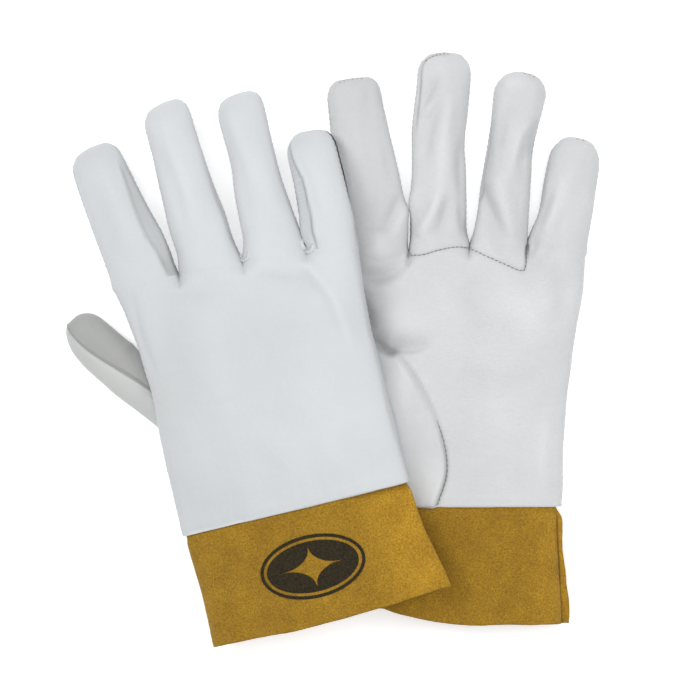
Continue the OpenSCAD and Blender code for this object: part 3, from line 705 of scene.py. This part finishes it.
def thumb_relief(glove, surface, angle, along):
    length, _ = thumb_line(glove)
    lateral = np.cos(angle) * 12
    rise = 0.4 * soft_noise((surface + array([0, 0, 100])) / 26, 13 + glove, 2)
    shown = ease((along + 12) / 10)
    # raised seam with a groove beside it, along the top and bottom; painted shade in the groove
    # and over the upper face, which lies in shade
    seam_at = mix(1.2, -4.6, ease(along / length)) if glove == RIGHT else -1.0
    off = lateral - seam_at
    rise += shown * (0.75 * bell(off + 0.1, 0.65) - 0.9 * bell(off - 1.1, 0.5))
    rise += shown * 0.05 * wave_of(along, 2.8) * np.exp(-(off / 3.0) ** 2)
    shade = (shown * bell(off - 1.1, 0.5)
             + 0.8 * ease((off - 0.5) / 0.8) * (1.0 if glove == RIGHT else 0.3))
    # crease across the finger side, and fine wrinkles
    rise -= 0.5 * bell(along - 0.5 * length, 2.2) * np.maximum(np.cos(angle), 0)
    rise -= 0.10 * ridge_noise(xyz(angle * 1.4, along / 7, 0), 90 + glove)
    return rise * ease((length - along) / 3 + 0.3), shade


# ---------------------------------------------------------------- leather meshes
COLUMN_SEGMENTS = 34
ACROSS = -np.cos(np.pi * np.arange(COLUMN_SEGMENTS + 1) / COLUMN_SEGMENTS)
HAND_COLUMNS = np.append(np.concatenate([k + (ACROSS[:-1] + 1) / 2 for k in range(4)]), 4.0)
# turned-in lower edge of the hand: (y, inset)
HEM = [(0, 0), (-0.6, 0.15), (-1.05, 0.55), (-1.1, 1.0), (-0.6, 1.25), (1.5, 1.3), (5, 1.35)]


def lattice(rows, cols):
    return [values.ravel() for values in np.meshgrid(rows, cols, indexing="ij")]


def grid_faces(cols, rows, flip=False):
    row, col = lattice(np.arange(rows), np.arange(cols))
    corner = row * (cols + 1) + col
    faces = np.stack([corner, corner + 1, corner + cols + 2, corner + cols + 1], -1)
    return faces[:, ::-1] if flip else faces


def vertex_normals(spots, faces):
    crosses = np.cross(spots[faces[:, 2]] - spots[faces[:, 0]],
                       spots[faces[:, 3]] - spots[faces[:, 1]])
    total = np.zeros_like(spots)
    for corner in faces.T:
        np.add.at(total, corner, crosses)
    return total / np.maximum(np.linalg.norm(total, axis=1), 1e-12)[:, None]


def sew(glove, patches):
    """Welds the patches, raises the relief, places the glove and cuts the pieces apart.

    patches maps a name to (surface, faces, rise, shade).
    """
    surfaces, face_sets, rises, _ = zip(*patches.values())
    starts = np.cumsum([0] + [len(surface) for surface in surfaces])
    surface = np.vstack(surfaces)
    key = np.round(surface / 2e-3).astype(np.int64)
    _, first, weld = np.unique(key, axis=0, return_index=True, return_inverse=True)
    weld = weld.ravel()
    rise = np.bincount(weld, np.concatenate(rises)) / np.bincount(weld)
    faces = weld[np.vstack([part + start for part, start in zip(face_sets, starts)])]
    welded = surface[first]
    placed = place(glove, welded + vertex_normals(welded, faces) * rise[:, None])
    # keep it above the floor
    z = placed[:, 2]
    touch = FLOOR_GAP + SETTLE
    placed[:, 2] = np.where(z < touch, FLOOR_GAP + SETTLE * np.exp((z - touch) / SETTLE), z)
    turn = -1 if glove == LEFT else 1       # mirroring turns the faces round
    normals = vertex_normals(placed, faces[:, ::turn])
    pieces = {}
    for start, (name, (rest, part, _, shade)) in zip(starts, patches.items()):
        own = weld[start:start + len(rest)]
        pieces[name] = dict(spots=placed[own], faces=part[:, ::turn], normals=normals[own],
                            rest=rest, shade=shade)
    return pieces


def hand_patch(glove, side):
    rows = 128
    up, column = lattice(np.linspace(0, 1, rows + 1), HAND_COLUMNS)
    surface = hand_surface(glove, side, column, up)
    faces = grid_faces(4 * COLUMN_SEGMENTS, rows, side == PALM)
    return surface, faces, *hand_relief(glove, side, surface, column, up)


def hem_patch(glove, side):
    seam = np.zeros_like(HAND_COLUMNS)
    edge = hand_surface(glove, side, HAND_COLUMNS, seam)
    toward_x = (edge[:, 0] / HALF_WIDTH) ** 3
    toward_z = ((edge[:, 2] - sag(glove, edge[:, 0], edge[:, 1])) / hand_half(0.0)) ** 3
    reach = np.hypot(toward_x, toward_z) + 1e-9
    inward = xyz(toward_x / reach, 0, toward_z / reach)
    surface = np.vstack([edge - inset * inward + array([0, y, 0]) for y, inset in HEM])
    rise, _ = hand_relief(glove, side, edge, HAND_COLUMNS, seam)
    rises = np.concatenate([rise * (1 - 0.15 * i) for i in range(len(HEM))])
    rises[len(rise):] *= 0.6
    faces = grid_faces(4 * COLUMN_SEGMENTS, len(HEM) - 1, side == BACK)
    return surface, faces, rises, np.zeros(len(surface))


def finger_patch(finger, side, start, end, count, power=1.0):
    lines = start + (end - start) * np.linspace(0, 1, count + 1) ** power
    along, across = lattice(lines, ACROSS)
    surface = finger.surface(side, across, along)
    faces = grid_faces(COLUMN_SEGMENTS, count, side == PALM)
    return surface, faces, *finger_relief(finger, side, surface, across, along)


def build_skin(glove):
    patches = {}
    for side, hand, face in ((BACK, "hand_back", "back"), (PALM, "palm", "front")):
        patches[hand] = hand_patch(glove, side)
        patches[hand + "_hem"] = hem_patch(glove, side)
        for finger in FINGERS[glove]:
            split, length = finger.split, finger.length
            gathered = (glove, finger.index, side) == (RIGHT, 3, BACK)
            low_step, high_step = 0.95, 0.42 if gathered else 0.85
            low_count = max(8, int(split / low_step))
            high_count = max(16, int((length - split) / high_step))
            name = f"{finger.name}_{face}"
            patches[name + "_lower"] = finger_patch(finger, side, 0, split, low_count)
            patches[name + "_upper"] = finger_patch(finger, side, split, length, high_count,
                                                    power=0.86)
    return sew(glove, patches)


def build_thumb(glove):
    length, _ = thumb_line(glove)
    around = 96
    segments = [("lower", -float(THUMB_HEEL), THUMB_SPLIT, 46, 1.0),
                ("upper", THUMB_SPLIT, length, 60, 0.86)]
    patches = {}
    for half, first_angle in (("front", -90), ("back", 90)):
        angles = np.radians(first_angle + 180 * np.arange(around + 1) / around)
        for segment, start, end, count, power in segments:
            lines = start + (end - start) * np.linspace(0, 1, count + 1) ** power
            along, angle = lattice(lines, angles)
            surface = thumb_surface(glove, angle, along)
            patches[f"{half}_{segment}"] = (surface, grid_faces(around, count),
                                            *thumb_relief(glove, surface, angle, along))
    return sew(glove, patches)


# ---------------------------------------------------------------- cuffs
def cuff_end(glove, x):
    """y of the cuff's lower edge."""
    if glove == RIGHT:
        return -CUFF_LENGTH + 2.6 * ease((x - 6) / 50) + 0.35 * np.sin(x / 9.0)
    return -CUFF_LENGTH - 1 + np.minimum(8, 0.0037 * np.minimum(0, x - 17) ** 2)


def cuff_surface(glove, angle, flap, down, inset, half):
    """angle runs round the band from the little-finger side, flap 0 to 1 out along the raw
    end, down 0 to 1 from the upper edge; half is 1 on the back and -1 on the palm."""
    round_x = squared(np.cos(angle), CUFF_POWER)
    round_z = squared(np.sin(angle), CUFF_POWER)
    reach = np.abs(round_x)
    band_x = HALF_WIDTH * round_x
    y = mix(CUFF_TOP, cuff_end(glove, band_x), down)
    half_wide = (mix(HALF_WIDTH - 2.7, 55.6, ease((2 - y) / 8))
                 + 1.6 * ease(-y / CUFF_LENGTH))
    half_thick = mix(hand_half(0.0) - 1.7, hand_half(0.0) - 0.3, ease(-y / 9))
    wave = (0.55 * soft_noise(xyz(band_x / 16, y / 26, 4 * half), 131 + glove, 2)
            * ease(-y / 12) * (1 + 0.6 * ease((-y - 34) / 20)))
    flare = 0.9 * ease((-y - 40) / 18)
    x = (half_wide + wave * reach * 0.6 + flare * reach * 0.5 - inset * reach) * round_x
    thick = half_thick + wave + flare
    z = thick * round_z + half * 0.12 - inset * round_z
    # raw ends of the strip stand out at the little-finger side, one over the other
    if glove == LEFT:
        flap_length = 0.55 + 0.45 * ease((-y - 20) / 36)
    else:
        flap_length = 0.25 + 1.35 * ease((-y - 8) / 60) ** 1.2
    flap_length = (0.35 + flap_length * np.where(half > 0, 3.9, 4.4 if glove == LEFT else 3.4)
                   * ease((-y - 1.0) / 6))
    flap_x = half_wide - 0.4 + flap_length * flap
    flap_z = half * (0.12 + (0.0 if inset > 0 else CUFF_THICK))
    if glove == LEFT:
        flap_x = flap_x + 0.25 * np.sin(y / 3.1 + half) * flap
        flap_z = flap_z + 0.5 * np.sin(y / 11.0)
    else:
        # the back half of the right cuff falls flat towards its raw end
        flat = (half > 0) & (np.cos(angle) > 0)
        fall = mix(1.0, 0.16, ease((round_x - 0.30) / 0.70) ** 1.2)
        z = np.where(flat, thick * fall - inset, z)
        flap_z = np.where(flat, thick * 0.16 - inset + 0.8 * flap ** 2 * ease(-y / 30), flap_z)
    join = ease(flap / 0.25)
    x = mix(x, flap_x, join)
    z = mix(z, flap_z, join)
    shift = CUFF_SHIFT[glove] * ease(-y / CUFF_LENGTH)
    return xyz(x + shift, y, z + sag(glove, x, y))


def build_cuff(glove):
    flap_segments = 8
    around = 220
    rows = 64
    flap_out = np.linspace(1, 1 / flap_segments, flap_segments)
    angle = np.concatenate([np.zeros(flap_segments), np.linspace(0, 2 * np.pi, around + 1),
                            np.full(flap_segments, 2 * np.pi)])
    flap = np.concatenate([flap_out, np.zeros(around + 1), flap_out[::-1]])
    half = np.where(angle < np.pi, 1.0, -1.0)
    cols = len(angle) - 1
    down, column = lattice(np.linspace(0, 1, rows + 1), np.arange(cols + 1))
    rest = np.vstack([cuff_surface(glove, angle[column], flap[column], down, inset,
                                   half[column]) for inset in (0.0, CUFF_THICK)])
    count = len(down)
    # outer layer, inner layer, and the wall round their border
    border = array([*range(cols), *(row * (cols + 1) + cols for row in range(rows)),
                    *(rows * (cols + 1) + i for i in range(cols, 0, -1)),
                    *(row * (cols + 1) for row in range(rows, 0, -1))])
    after = np.roll(border, -1)
    wall = np.stack([border, after, after + count, border + count], -1)
    faces = np.vstack([grid_faces(cols, rows, True), grid_faces(cols, rows) + count, wall])
    spots = rest * array([1, 1, 3])
    rise = (0.12 * soft_noise(spots / 3.0, 151 + glove, 2)
            + 0.25 * soft_noise(spots / 14.0, 161 + glove, 2))
    rise[count:] *= 0.3
    placed = place(glove, rest + vertex_normals(rest, faces) * rise[:, None])
    placed[:, 2] = np.maximum(placed[:, 2], 0.1)
    # painted highlight towards the raw ends, where the edges flare up to the light
    start, width, strength = (22, 30, 1.0) if glove == RIGHT else (34, 16, 0.4)
    shade = ease((rest[:, 0] - start) / width) * strength * ease(-rest[:, 1] / 6)
    return dict(spots=placed, faces=faces[:, ::-1] if glove == LEFT else faces,
                rest=rest, shade=shade)


# ---------------------------------------------------------------- objects
def add_object(name, material, spots, faces, rest, shade=None, normals=None):
    """Mesh object from spots in mm, with the attributes that the materials read."""
    mesh = bpy.data.meshes.new(name)
    mesh.from_pydata((spots * MM).tolist(), [], faces)
    mesh.update()
    mesh.polygons.foreach_set("use_smooth", [True] * len(mesh.polygons))
    attribute = mesh.attributes.new("rest", "FLOAT_VECTOR", "POINT")
    attribute.data.foreach_set("vector", array(rest, np.float32).ravel())
    if shade is not None:
        # painted shading for the materials: painted shade in hollows, painted light where negative
        attribute = mesh.attributes.new("cav", "FLOAT", "POINT")
        attribute.data.foreach_set("value", array(shade, np.float32).clip(-0.8, 1))
    if normals is not None:
        mesh.normals_split_custom_set_from_vertices(normals.tolist())
    mesh.materials.append(material)
    obj = bpy.data.objects.new(name, mesh)
    bpy.context.scene.collection.objects.link(obj)
    return obj


def add_piece(name, look, piece):
    faces = piece["faces"].tolist()
    return add_object(f"vis_{name}", MATERIALS[look], **{**piece, "faces": faces})


def fit(obj, slot, carrier, *replaced):
    """Ties an object to one CAD part; for a blend (part, part, start, end) it only bakes the
    object's transform.
    """
    if isinstance(carrier, str):
        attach(obj, carrier)
    else:
        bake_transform(obj)
    if replaced:
        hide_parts(*replaced)


# ---------------------------------------------------------------- materials
class Shader:
    """A material with a Principled surface; each node method returns an output socket."""

    def __init__(self, name):
        self.material = bpy.data.materials.new(name)
        self.material.use_nodes = True
        self.nodes = self.material.node_tree.nodes

    def feed(self, node, inputs):
        for socket, value in inputs.items():
            if isinstance(value, bpy.types.NodeSocket):
                self.material.node_tree.links.new(value, node.inputs[socket])
            else:
                node.inputs[socket].default_value = value

    def node(self, kind, inputs, **settings):
        node = self.nodes.new("ShaderNode" + kind)
        for setting, value in settings.items():
            setattr(node, setting, value)
        self.feed(node, inputs)
        return node

    def attribute(self, name, output):
        return self.node("Attribute", {}, attribute_name=name).outputs[output]

    def noise(self, vector, scale, detail, roughness=0.5):
        return self.node("TexNoise", {"Vector": vector, "Scale": scale, "Detail": detail,
                                      "Roughness": roughness}).outputs["Fac"]

    def ramp(self, factor, *stops):
        node = self.node("ValToRGB", {"Fac": factor})
        for element, (position, color) in zip(node.color_ramp.elements, stops):
            element.position = position
            element.color = (*color, 1)
        return node.outputs["Color"]

    def remap(self, value, low, high, start=0.0, end=1.0, clamp=True):
        inputs = {"Value": value, "From Min": start, "From Max": end,
                  "To Min": low, "To Max": high}
        return self.node("MapRange", inputs, clamp=clamp).outputs["Result"]

    def mix(self, factor, first, second, **settings):
        # sockets 0, 6, 7 and 2 are the factor, both colours and the mixed colour
        return self.node("Mix", {0: factor, 6: first, 7: second}, data_type="RGBA",
                         **settings).outputs[2]

    def multiply(self, first, second):
        return self.mix(1.0, first, second, blend_type="MULTIPLY")

    def bump(self, height, strength, distance, **under):
        return self.node("Bump", {"Height": height, "Strength": strength,
                                  "Distance": distance, **under}).outputs["Normal"]

    def finish(self, inputs):
        self.feed(self.nodes["Principled BSDF"], inputs)
        return self.material


def leather(name, base, tint, grain_scale=(0.9, 0.9, 0.9), dark=0.42, grain=0.3):
    shader = Shader(name)
    rest = shader.attribute("rest", "Vector")
    # broad tone changes and fine speckle
    color = shader.ramp(shader.noise(rest, scale=0.022, detail=3), (0.36, tint), (0.62, base))
    speckle = shader.noise(rest, scale=0.55, detail=4)
    color = shader.multiply(color, shader.remap(speckle, 0.985, 1.01, start=0.3, end=0.7))
    # painted shade in seam bottoms, folds and crotches, and painted light where the value is
    # negative
    shade = shader.remap(shader.attribute("cav", "Fac"), 0.0, dark, clamp=False)
    color = shader.mix(shade, color, (0.16, 0.155, 0.15, 1), blend_type="MIX",
                       clamp_factor=False)
    # grain: short creases and pebbled cells
    stretched = shader.node("Mapping", {"Vector": rest, "Scale": grain_scale})
    creases = shader.noise(stretched.outputs["Vector"], scale=1.0, detail=6, roughness=0.62)
    cells = shader.node("TexVoronoi", {"Vector": rest, "Scale": 1.15}).outputs["Distance"]
    normal = shader.bump(creases, strength=grain, distance=0.0003)
    normal = shader.bump(cells, strength=0.06, distance=0.0002, Normal=normal)
    return shader.finish({
        "Base Color": color, "Normal": normal, "Roughness": shader.remap(speckle, 0.46, 0.64),
        "Specular IOR Level": 0.35, "Sheen Weight": 0.12, "Sheen Roughness": 0.5})


def suede(name):
    shader = Shader(name)
    rest = shader.attribute("rest", "Vector")
    patches = shader.noise(rest, scale=0.075, detail=5, roughness=0.6)
    color = shader.ramp(patches, (0.30, (0.29, 0.157, 0.0155)), (0.72, (0.395, 0.226, 0.0205)))
    nap = shader.noise(rest, scale=1.25, detail=5, roughness=0.75)
    nap_color = shader.ramp(nap, (0.34, (0.52, 0.50, 0.46)), (0.66, (1.32, 1.3, 1.2)))
    color = shader.multiply(color, nap_color)
    # painted highlight towards the raw ends, where the edges flare up to the light
    color = shader.multiply(color, shader.remap(shader.attribute("cav", "Fac"), 1.0, 1.38))
    normal = shader.bump(nap, strength=0.75, distance=0.0005)
    lumps = shader.noise(rest, scale=0.35, detail=3)
    normal = shader.bump(lumps, strength=0.35, distance=0.0006, Normal=normal)
    return shader.finish({
        "Base Color": color, "Normal": normal, "Roughness": 0.93, "Specular IOR Level": 0.15,
        "Sheen Weight": 0.25, "Sheen Roughness": 0.6, "Sheen Tint": (1.0, 0.82, 0.4, 1)})


def thread(name, color):
    shader = Shader(name)
    fibre = shader.noise(shader.attribute("rest", "Vector"), scale=1.6, detail=3)
    return shader.finish({
        "Base Color": shader.ramp(fibre, (0.0, [c * 0.6 for c in color]),
                                  (1.0, [min(1, c * 1.3) for c in color])),
        "Normal": shader.bump(fibre, strength=0.5, distance=0.0002), "Roughness": 0.85})


def ink(name):
    shader = Shader(name)
    nap = shader.noise(shader.attribute("rest", "Vector"), scale=1.25, detail=5, roughness=0.75)
    return shader.finish({
        "Base Color": shader.ramp(nap, (0.35, (0.008, 0.008, 0.007)),
                                  (0.78, (0.07, 0.05, 0.02))),
        "Normal": shader.bump(nap, strength=0.5, distance=0.0004),
        "Roughness": 0.9, "Specular IOR Level": 0.2})


MATERIALS = {
    "back": leather("leather_back_cool", base=(0.63, 0.66, 0.677), tint=(0.605, 0.634, 0.648)),
    "palm": leather("leather_palm", base=(0.65, 0.662, 0.672), tint=(0.615, 0.626, 0.633),
                    grain_scale=(0.45, 2.6, 1.0), grain=0.9),
    "thumb": leather("leather_thumb", base=(0.565, 0.58, 0.57), tint=(0.54, 0.553, 0.543),
                     dark=0.6),
    "suede": suede("suede_gold"),
    # a lighter thread to choose from, on no piece now
    "light_thread": thread("sewing_thread", (0.42, 0.41, 0.38)),
    # thread colour darkened with painted shade of the seam grooves and stitch holes
    "thread": thread("tip_thread", (0.22, 0.21, 0.19)),
    "ink": ink("printed_ink"),
}


# ---------------------------------------------------------------- threads
def tube(path, normals, radius, sides, flat=1.0):
    """Closed tube along a path, with the outward direction at each point."""
    way = np.gradient(path, axis=0)
    way /= np.maximum(np.linalg.norm(way, axis=1), 1e-9)[:, None]
    lateral = np.cross(normals, way)
    lateral /= np.maximum(np.linalg.norm(lateral, axis=1), 1e-9)[:, None]
    upward = np.cross(way, lateral)
    angle = (2 * np.pi * np.arange(sides) / sides)[:, None]
    rings = lateral[:, None] * np.cos(angle) + upward[:, None] * np.sin(angle) * flat
    rings = path[:, None] + radius * rings
    faces = [(i * sides + j, i * sides + (j + 1) % sides,
              (i + 1) * sides + (j + 1) % sides, (i + 1) * sides + j)
             for i in range(len(path) - 1) for j in range(sides)]
    centre = len(path) * sides
    last = centre - sides
    faces += [(centre, (j + 1) % sides, j) for j in range(sides)]
    faces += [(centre + 1, last + j, last + (j + 1) % sides) for j in range(sides)]
    return np.vstack([rings.reshape(-1, 3), path[[0, -1]]]), faces


def add_tubes(name, tubes, look, shade=None):
    """One object from many tubes; shade is a single value for all of it."""
    faces, start = [], 0
    for spots, own in tubes:
        faces += [tuple(i + start for i in face) for face in own]
        start += len(spots)
    spots = np.vstack([tube_spots for tube_spots, _ in tubes])
    shades = None if shade is None else np.full(start, shade)
    return add_object(f"vis_{name}", MATERIALS[look], spots, faces, rest=spots, shade=shades)


class Ground:
    """Finds placed points of the leather from x and y in the glove frame."""

    def __init__(self, *pieces):
        self.spots = np.vstack([piece["spots"] for piece in pieces])
        self.normals = np.vstack([piece["normals"] for piece in pieces])
        self.tree = KDTree(len(self.spots))
        for i, rest in enumerate(np.vstack([piece["rest"] for piece in pieces])):
            self.tree.insert((rest[0], rest[1], 0), i)
        self.tree.balance()

    def at(self, flat):
        spots, normals = [], []
        for x, y in flat:
            _, near, distances = zip(*self.tree.find_n((x, y, 0), 4))
            weights = 1 / (array(distances) + 1e-3)
            weights /= weights.sum()
            normal = weights @ self.normals[list(near)]
            spots.append(weights @ self.spots[list(near)])
            normals.append(normal / np.linalg.norm(normal))
        return array(spots), array(normals)


def seam_line(ground, path, radius, lift):
    spots, normals = ground.at(resample(path, 0.8))
    return tube(spots + normals * lift, normals, radius, sides=5)


def stitches(ground, path, pitch, length, radius, lift, zigzag=0.0):
    flat = resample(path, pitch)
    tubes = []
    for i, (start, after) in enumerate(zip(flat, flat[1:])):
        way = (after - start) / np.linalg.norm(after - start)
        end = start + way * length
        swing = zigzag * (1 if i % 2 else -1)
        middle = (start + end) / 2 + array([-way[1], way[0]]) * swing
        spots, normals = ground.at([start, (start + middle) / 2, middle, (middle + end) / 2,
                                    end])
        lifts = array([0.0, 0.7, 1.0, 0.7, 0.0]) * lift
        tubes.append(tube(spots + normals * lifts[:, None], normals, radius, sides=6))
    return tubes


# stitches round each fingertip: (from across, to across, pitch)
TIP_STITCHES = [(-0.62, 0.55, 1.9), (-0.85, 0.35, 1.8), (0.05, 0.75, 2.2), (-0.15, 0.6, 2.2)]


def tip_stitches(finger, piece):
    start, end, pitch = TIP_STITCHES[finger.index]
    across = np.linspace(start, end, 40)
    radius = finger.width / 2
    along = (finger.length - radius
             + (radius - 1.5) * np.maximum(0.02, 1 - np.abs(across) ** 3) ** (1 / 3))
    ring = finger.surface(PALM, across, along)
    return stitches(Ground(piece), ring[:, :2], pitch, length=pitch * 0.45, radius=0.13,
                    lift=0.12)


# ---------------------------------------------------------------- gloves
def add_hand(glove, skin):
    prefix = GLOVES[glove]
    for part, look in (("hand_back", "back"), ("palm", "palm")):
        name = f"{prefix}_{part}"
        fit(add_piece(name, look, skin[part]), f"{look}_leather", f"{prefix}_hand", name)
        fit(add_piece(f"{name}_hem", look, skin[f"{part}_hem"]), f"{look}_leather",
            f"{prefix}_hand")


def add_finger(finger, skin):
    prefix, split = GLOVES[finger.glove], finger.split
    name = f"{prefix}_{finger.name}"
    gap = 0.2       # clear of the crotch slant and of the split
    slant = abs(float(finger.half_root @ finger.way))
    low = (f"{prefix}_hand", f"{name}_lower", finger.at(slant + gap), finger.at(split - gap))
    high = (f"{name}_lower", f"{name}_upper", finger.at(split + gap),
            finger.at(2 * finger.high_fold - split - gap))
    for face, look in (("back", "back"), ("front", "palm")):
        for segment, carrier in (("lower", low), ("upper", high)):
            part = f"{face}_{segment}"
            replaced = [f"{name}_{part}"]
            if part == "front_lower" and finger.index in (1, 2):
                replaced.append(f"{name}_front_root")
            obj = add_piece(f"{name}_{part}", look, skin[f"{finger.name}_{part}"])
            fit(obj, f"{look}_leather", carrier, *replaced)
    tubes = tip_stitches(finger, skin[f"{finger.name}_front_upper"])
    fit(add_tubes(f"{name}_tip_thread", tubes, "thread"), "thread", high)


def add_thumb(glove):
    prefix = GLOVES[glove]
    pieces = build_thumb(glove)
    length, way = thumb_line(glove)

    def at(along):
        return place_metres(glove, THUMB_ROOT[glove] + way * along)

    low = (f"{prefix}_hand", f"{prefix}_thumb_lower", at(-8), at(10))
    high = (f"{prefix}_thumb_lower", f"{prefix}_thumb_upper", at(14), at(length - 14))
    for half in ("front", "back"):
        for segment, carrier in (("lower", low), ("upper", high)):
            part = f"{half}_{segment}"
            name = f"{prefix}_thumb_{part}"
            wing = [f"{prefix}_thumb_wing"] if part == "front_lower" else []
            fit(add_piece(name, "thumb", pieces[part]), "thumb_leather", carrier, name, *wing)


def add_palm_threads(glove, palm):
    ground = Ground(palm)
    prefix = GLOVES[glove]
    # the seam lines stand for the thread and the painted shade in the seam groove
    tubes = [seam_line(ground, WING[30:], radius=0.10, lift=0.05)]
    tubes += [seam_line(ground, path, radius=0.09, lift=0.02) for path in ROOT_SEAMS[glove]]
    tubes += stitches(ground, WING[32:], pitch=2.4, length=1.4, radius=0.20, lift=0.22,
                      zigzag=0.12)
    for path in ROOT_SEAMS[glove]:
        tubes += stitches(ground, path, pitch=2.1, length=1.1, radius=0.2, lift=0.16)
    name = f"{prefix}_threads"
    fit(add_tubes(name, tubes, "thread"), "thread", f"{prefix}_hand", name)


def add_glove(glove):
    prefix = GLOVES[glove]
    skin = build_skin(glove)
    add_hand(glove, skin)
    for finger in FINGERS[glove]:
        add_finger(finger, skin)
    add_thumb(glove)
    cuff = f"{prefix}_cuff"
    fit(add_piece(cuff, "suede", build_cuff(glove)), "cuff_suede", f"{prefix}_hand", cuff)
    add_palm_threads(glove, skin["palm"])
    return skin


# rolled leather edges at two crotches of the right back: (path, radius, lift)
CROTCH_ROLLS = [
    ([(35.4, 124.4), (35.0, 121.0), (35.7, 118.8), (37.4, 116.9), (39.5, 116.9), (40.7, 119.6)],
     1.05, 0.25),
    ([(4.7, 124.3), (4.9, 122.3), (6.5, 120.8), (8.7, 121.3), (9.8, 123.8)], 0.85, 0.2)]


def add_crotch_rolls(skin):
    ground = Ground(*(skin[part] for part in ("hand_back", "middle_back_lower",
                                              "ring_back_lower", "little_back_lower")))
    samples = 26
    tubes = []
    for path, radius, lift in CROTCH_ROLLS:
        spots, normals = ground.at(smooth_path(path, samples))
        # both ends dive into the leather
        raised = np.sin(np.pi * np.linspace(0.06, 0.94, samples)) ** 0.35
        spots = spots + normals * (lift - 1.0 * (1 - raised))[:, None]
        tubes.append(tube(spots, normals, radius, sides=14, flat=0.8))
    obj = add_tubes("right_crotch_roll", tubes, "back", shade=0.12)
    fit(obj, "back_leather", "right_hand")


def add_cuff_mark():
    """Oval ring round a field with a four-point spark left open, on the back of the cuff."""
    centre = array([2.5, -29.0])
    around = 120

    def ellipse(half_x, half_y):
        return lambda turn: array([half_x * math.cos(turn), half_y * math.sin(turn)])

    def spark(turn):
        c, s = math.cos(turn), math.sin(turn)
        radius = 1 / (abs(c) ** 0.55 + abs(s) ** 0.55) ** (1 / 0.55)
        return array([15.5 * radius * c, 9.8 * radius * s])

    flat, faces = [], []
    for outer, inner, steps in ((ellipse(26.0, 15.2), ellipse(24.4, 13.6), 2),
                                (ellipse(22.8, 12.2), spark, 10)):
        start = len(flat)
        for i in range(around):
            turn = 2 * math.pi * i / around
            edge, reach = outer(turn), inner(turn) - outer(turn)
            flat += [centre + edge + reach * j / steps for j in range(steps + 1)]
            row = start + i * (steps + 1)
            after = start + (i + 1) % around * (steps + 1)
            faces += [(row + j, row + j + 1, after + j + 1, after + j) for j in range(steps)]
    # lay it on the cuff
    x, y = array(flat).T
    round_x = np.clip((x - CUFF_SHIFT[RIGHT] * ease(-y / CUFF_LENGTH)) / 56.4, -1, 1)
    angle = np.arccos(squared(round_x, 1 / CUFF_POWER))
    down = (y - CUFF_TOP) / (-CUFF_LENGTH - CUFF_TOP)
    cuff = cuff_surface(RIGHT, angle, np.zeros_like(x), down, 0.0, np.ones_like(x))
    rest = xyz(x, y, cuff[:, 2] + 0.30)
    obj = add_object("vis_right_cuff_mark", MATERIALS["ink"], place(RIGHT, rest), faces, rest)
    fit(obj, "ink", "right_hand", "right_cuff_mark")


# ---------------------------------------------------------------- stage
def add_floor():
    bpy.ops.mesh.primitive_plane_add(size=6, location=(0, 0, 0))
    floor = bpy.context.object
    floor.name = "studio_floor"
    floor.data.materials.append(Shader("studio_floor").finish({
        "Base Color": (0.93, 0.93, 0.93, 1), "Roughness": 0.9, "Specular IOR Level": 0.1,
        "Emission Color": (1, 1, 1, 1), "Emission Strength": 0.36}))


def add_world():
    world = bpy.data.worlds.new("studio")
    bpy.context.scene.world = world
    world.use_nodes = True
    background = world.node_tree.nodes["Background"]
    background.inputs["Color"].default_value = (1, 1, 1, 1)
    background.inputs["Strength"].default_value = 0.27


def add_light(name, location, energy, width):
    """Square area light aimed at the origin."""
    light = bpy.data.lights.new(name, "AREA")
    light.shape = "RECTANGLE"
    light.size = width
    light.size_y = width
    light.energy = energy
    obj = bpy.data.objects.new(name, light)
    bpy.context.scene.collection.objects.link(obj)
    obj.location = location
    aim = Vector((0, 0, 0)) - Vector(location)
    obj.rotation_euler = aim.to_track_quat("-Z", "Y").to_euler()


def add_camera():
    """Looks straight down; view_width is seen at the height view_z."""
    view_width, view_z = 0.3395, 0.016
    camera = bpy.data.cameras.new("camera")
    camera.lens = 110
    camera.sensor_width = 36
    camera.clip_end = 20
    obj = bpy.data.objects.new("camera", camera)
    bpy.context.scene.collection.objects.link(obj)
    distance = view_width * camera.lens / camera.sensor_width
    obj.location = (0.00973, 0.00024, distance + view_z)
    bpy.context.scene.camera = obj


right_skin = add_glove(RIGHT)
add_glove(LEFT)
add_crotch_rolls(right_skin)
add_cuff_mark()

add_floor()
add_world()
add_light("key", location=(-0.8, 0.5, 1.05), energy=7.5, width=0.6)
add_light("fill", location=(0.9, 0.35, 1.1), energy=5.8, width=0.8)
add_light("low", location=(0.1, -1.0, 1.1), energy=2.6, width=0.8)
add_light("top", location=(0.0, 0.0, 1.6), energy=8.8, width=1.0)
add_camera()
view = bpy.context.scene.view_settings
view.view_transform = "Standard"
view.look = "None"
view.exposure = 0.0
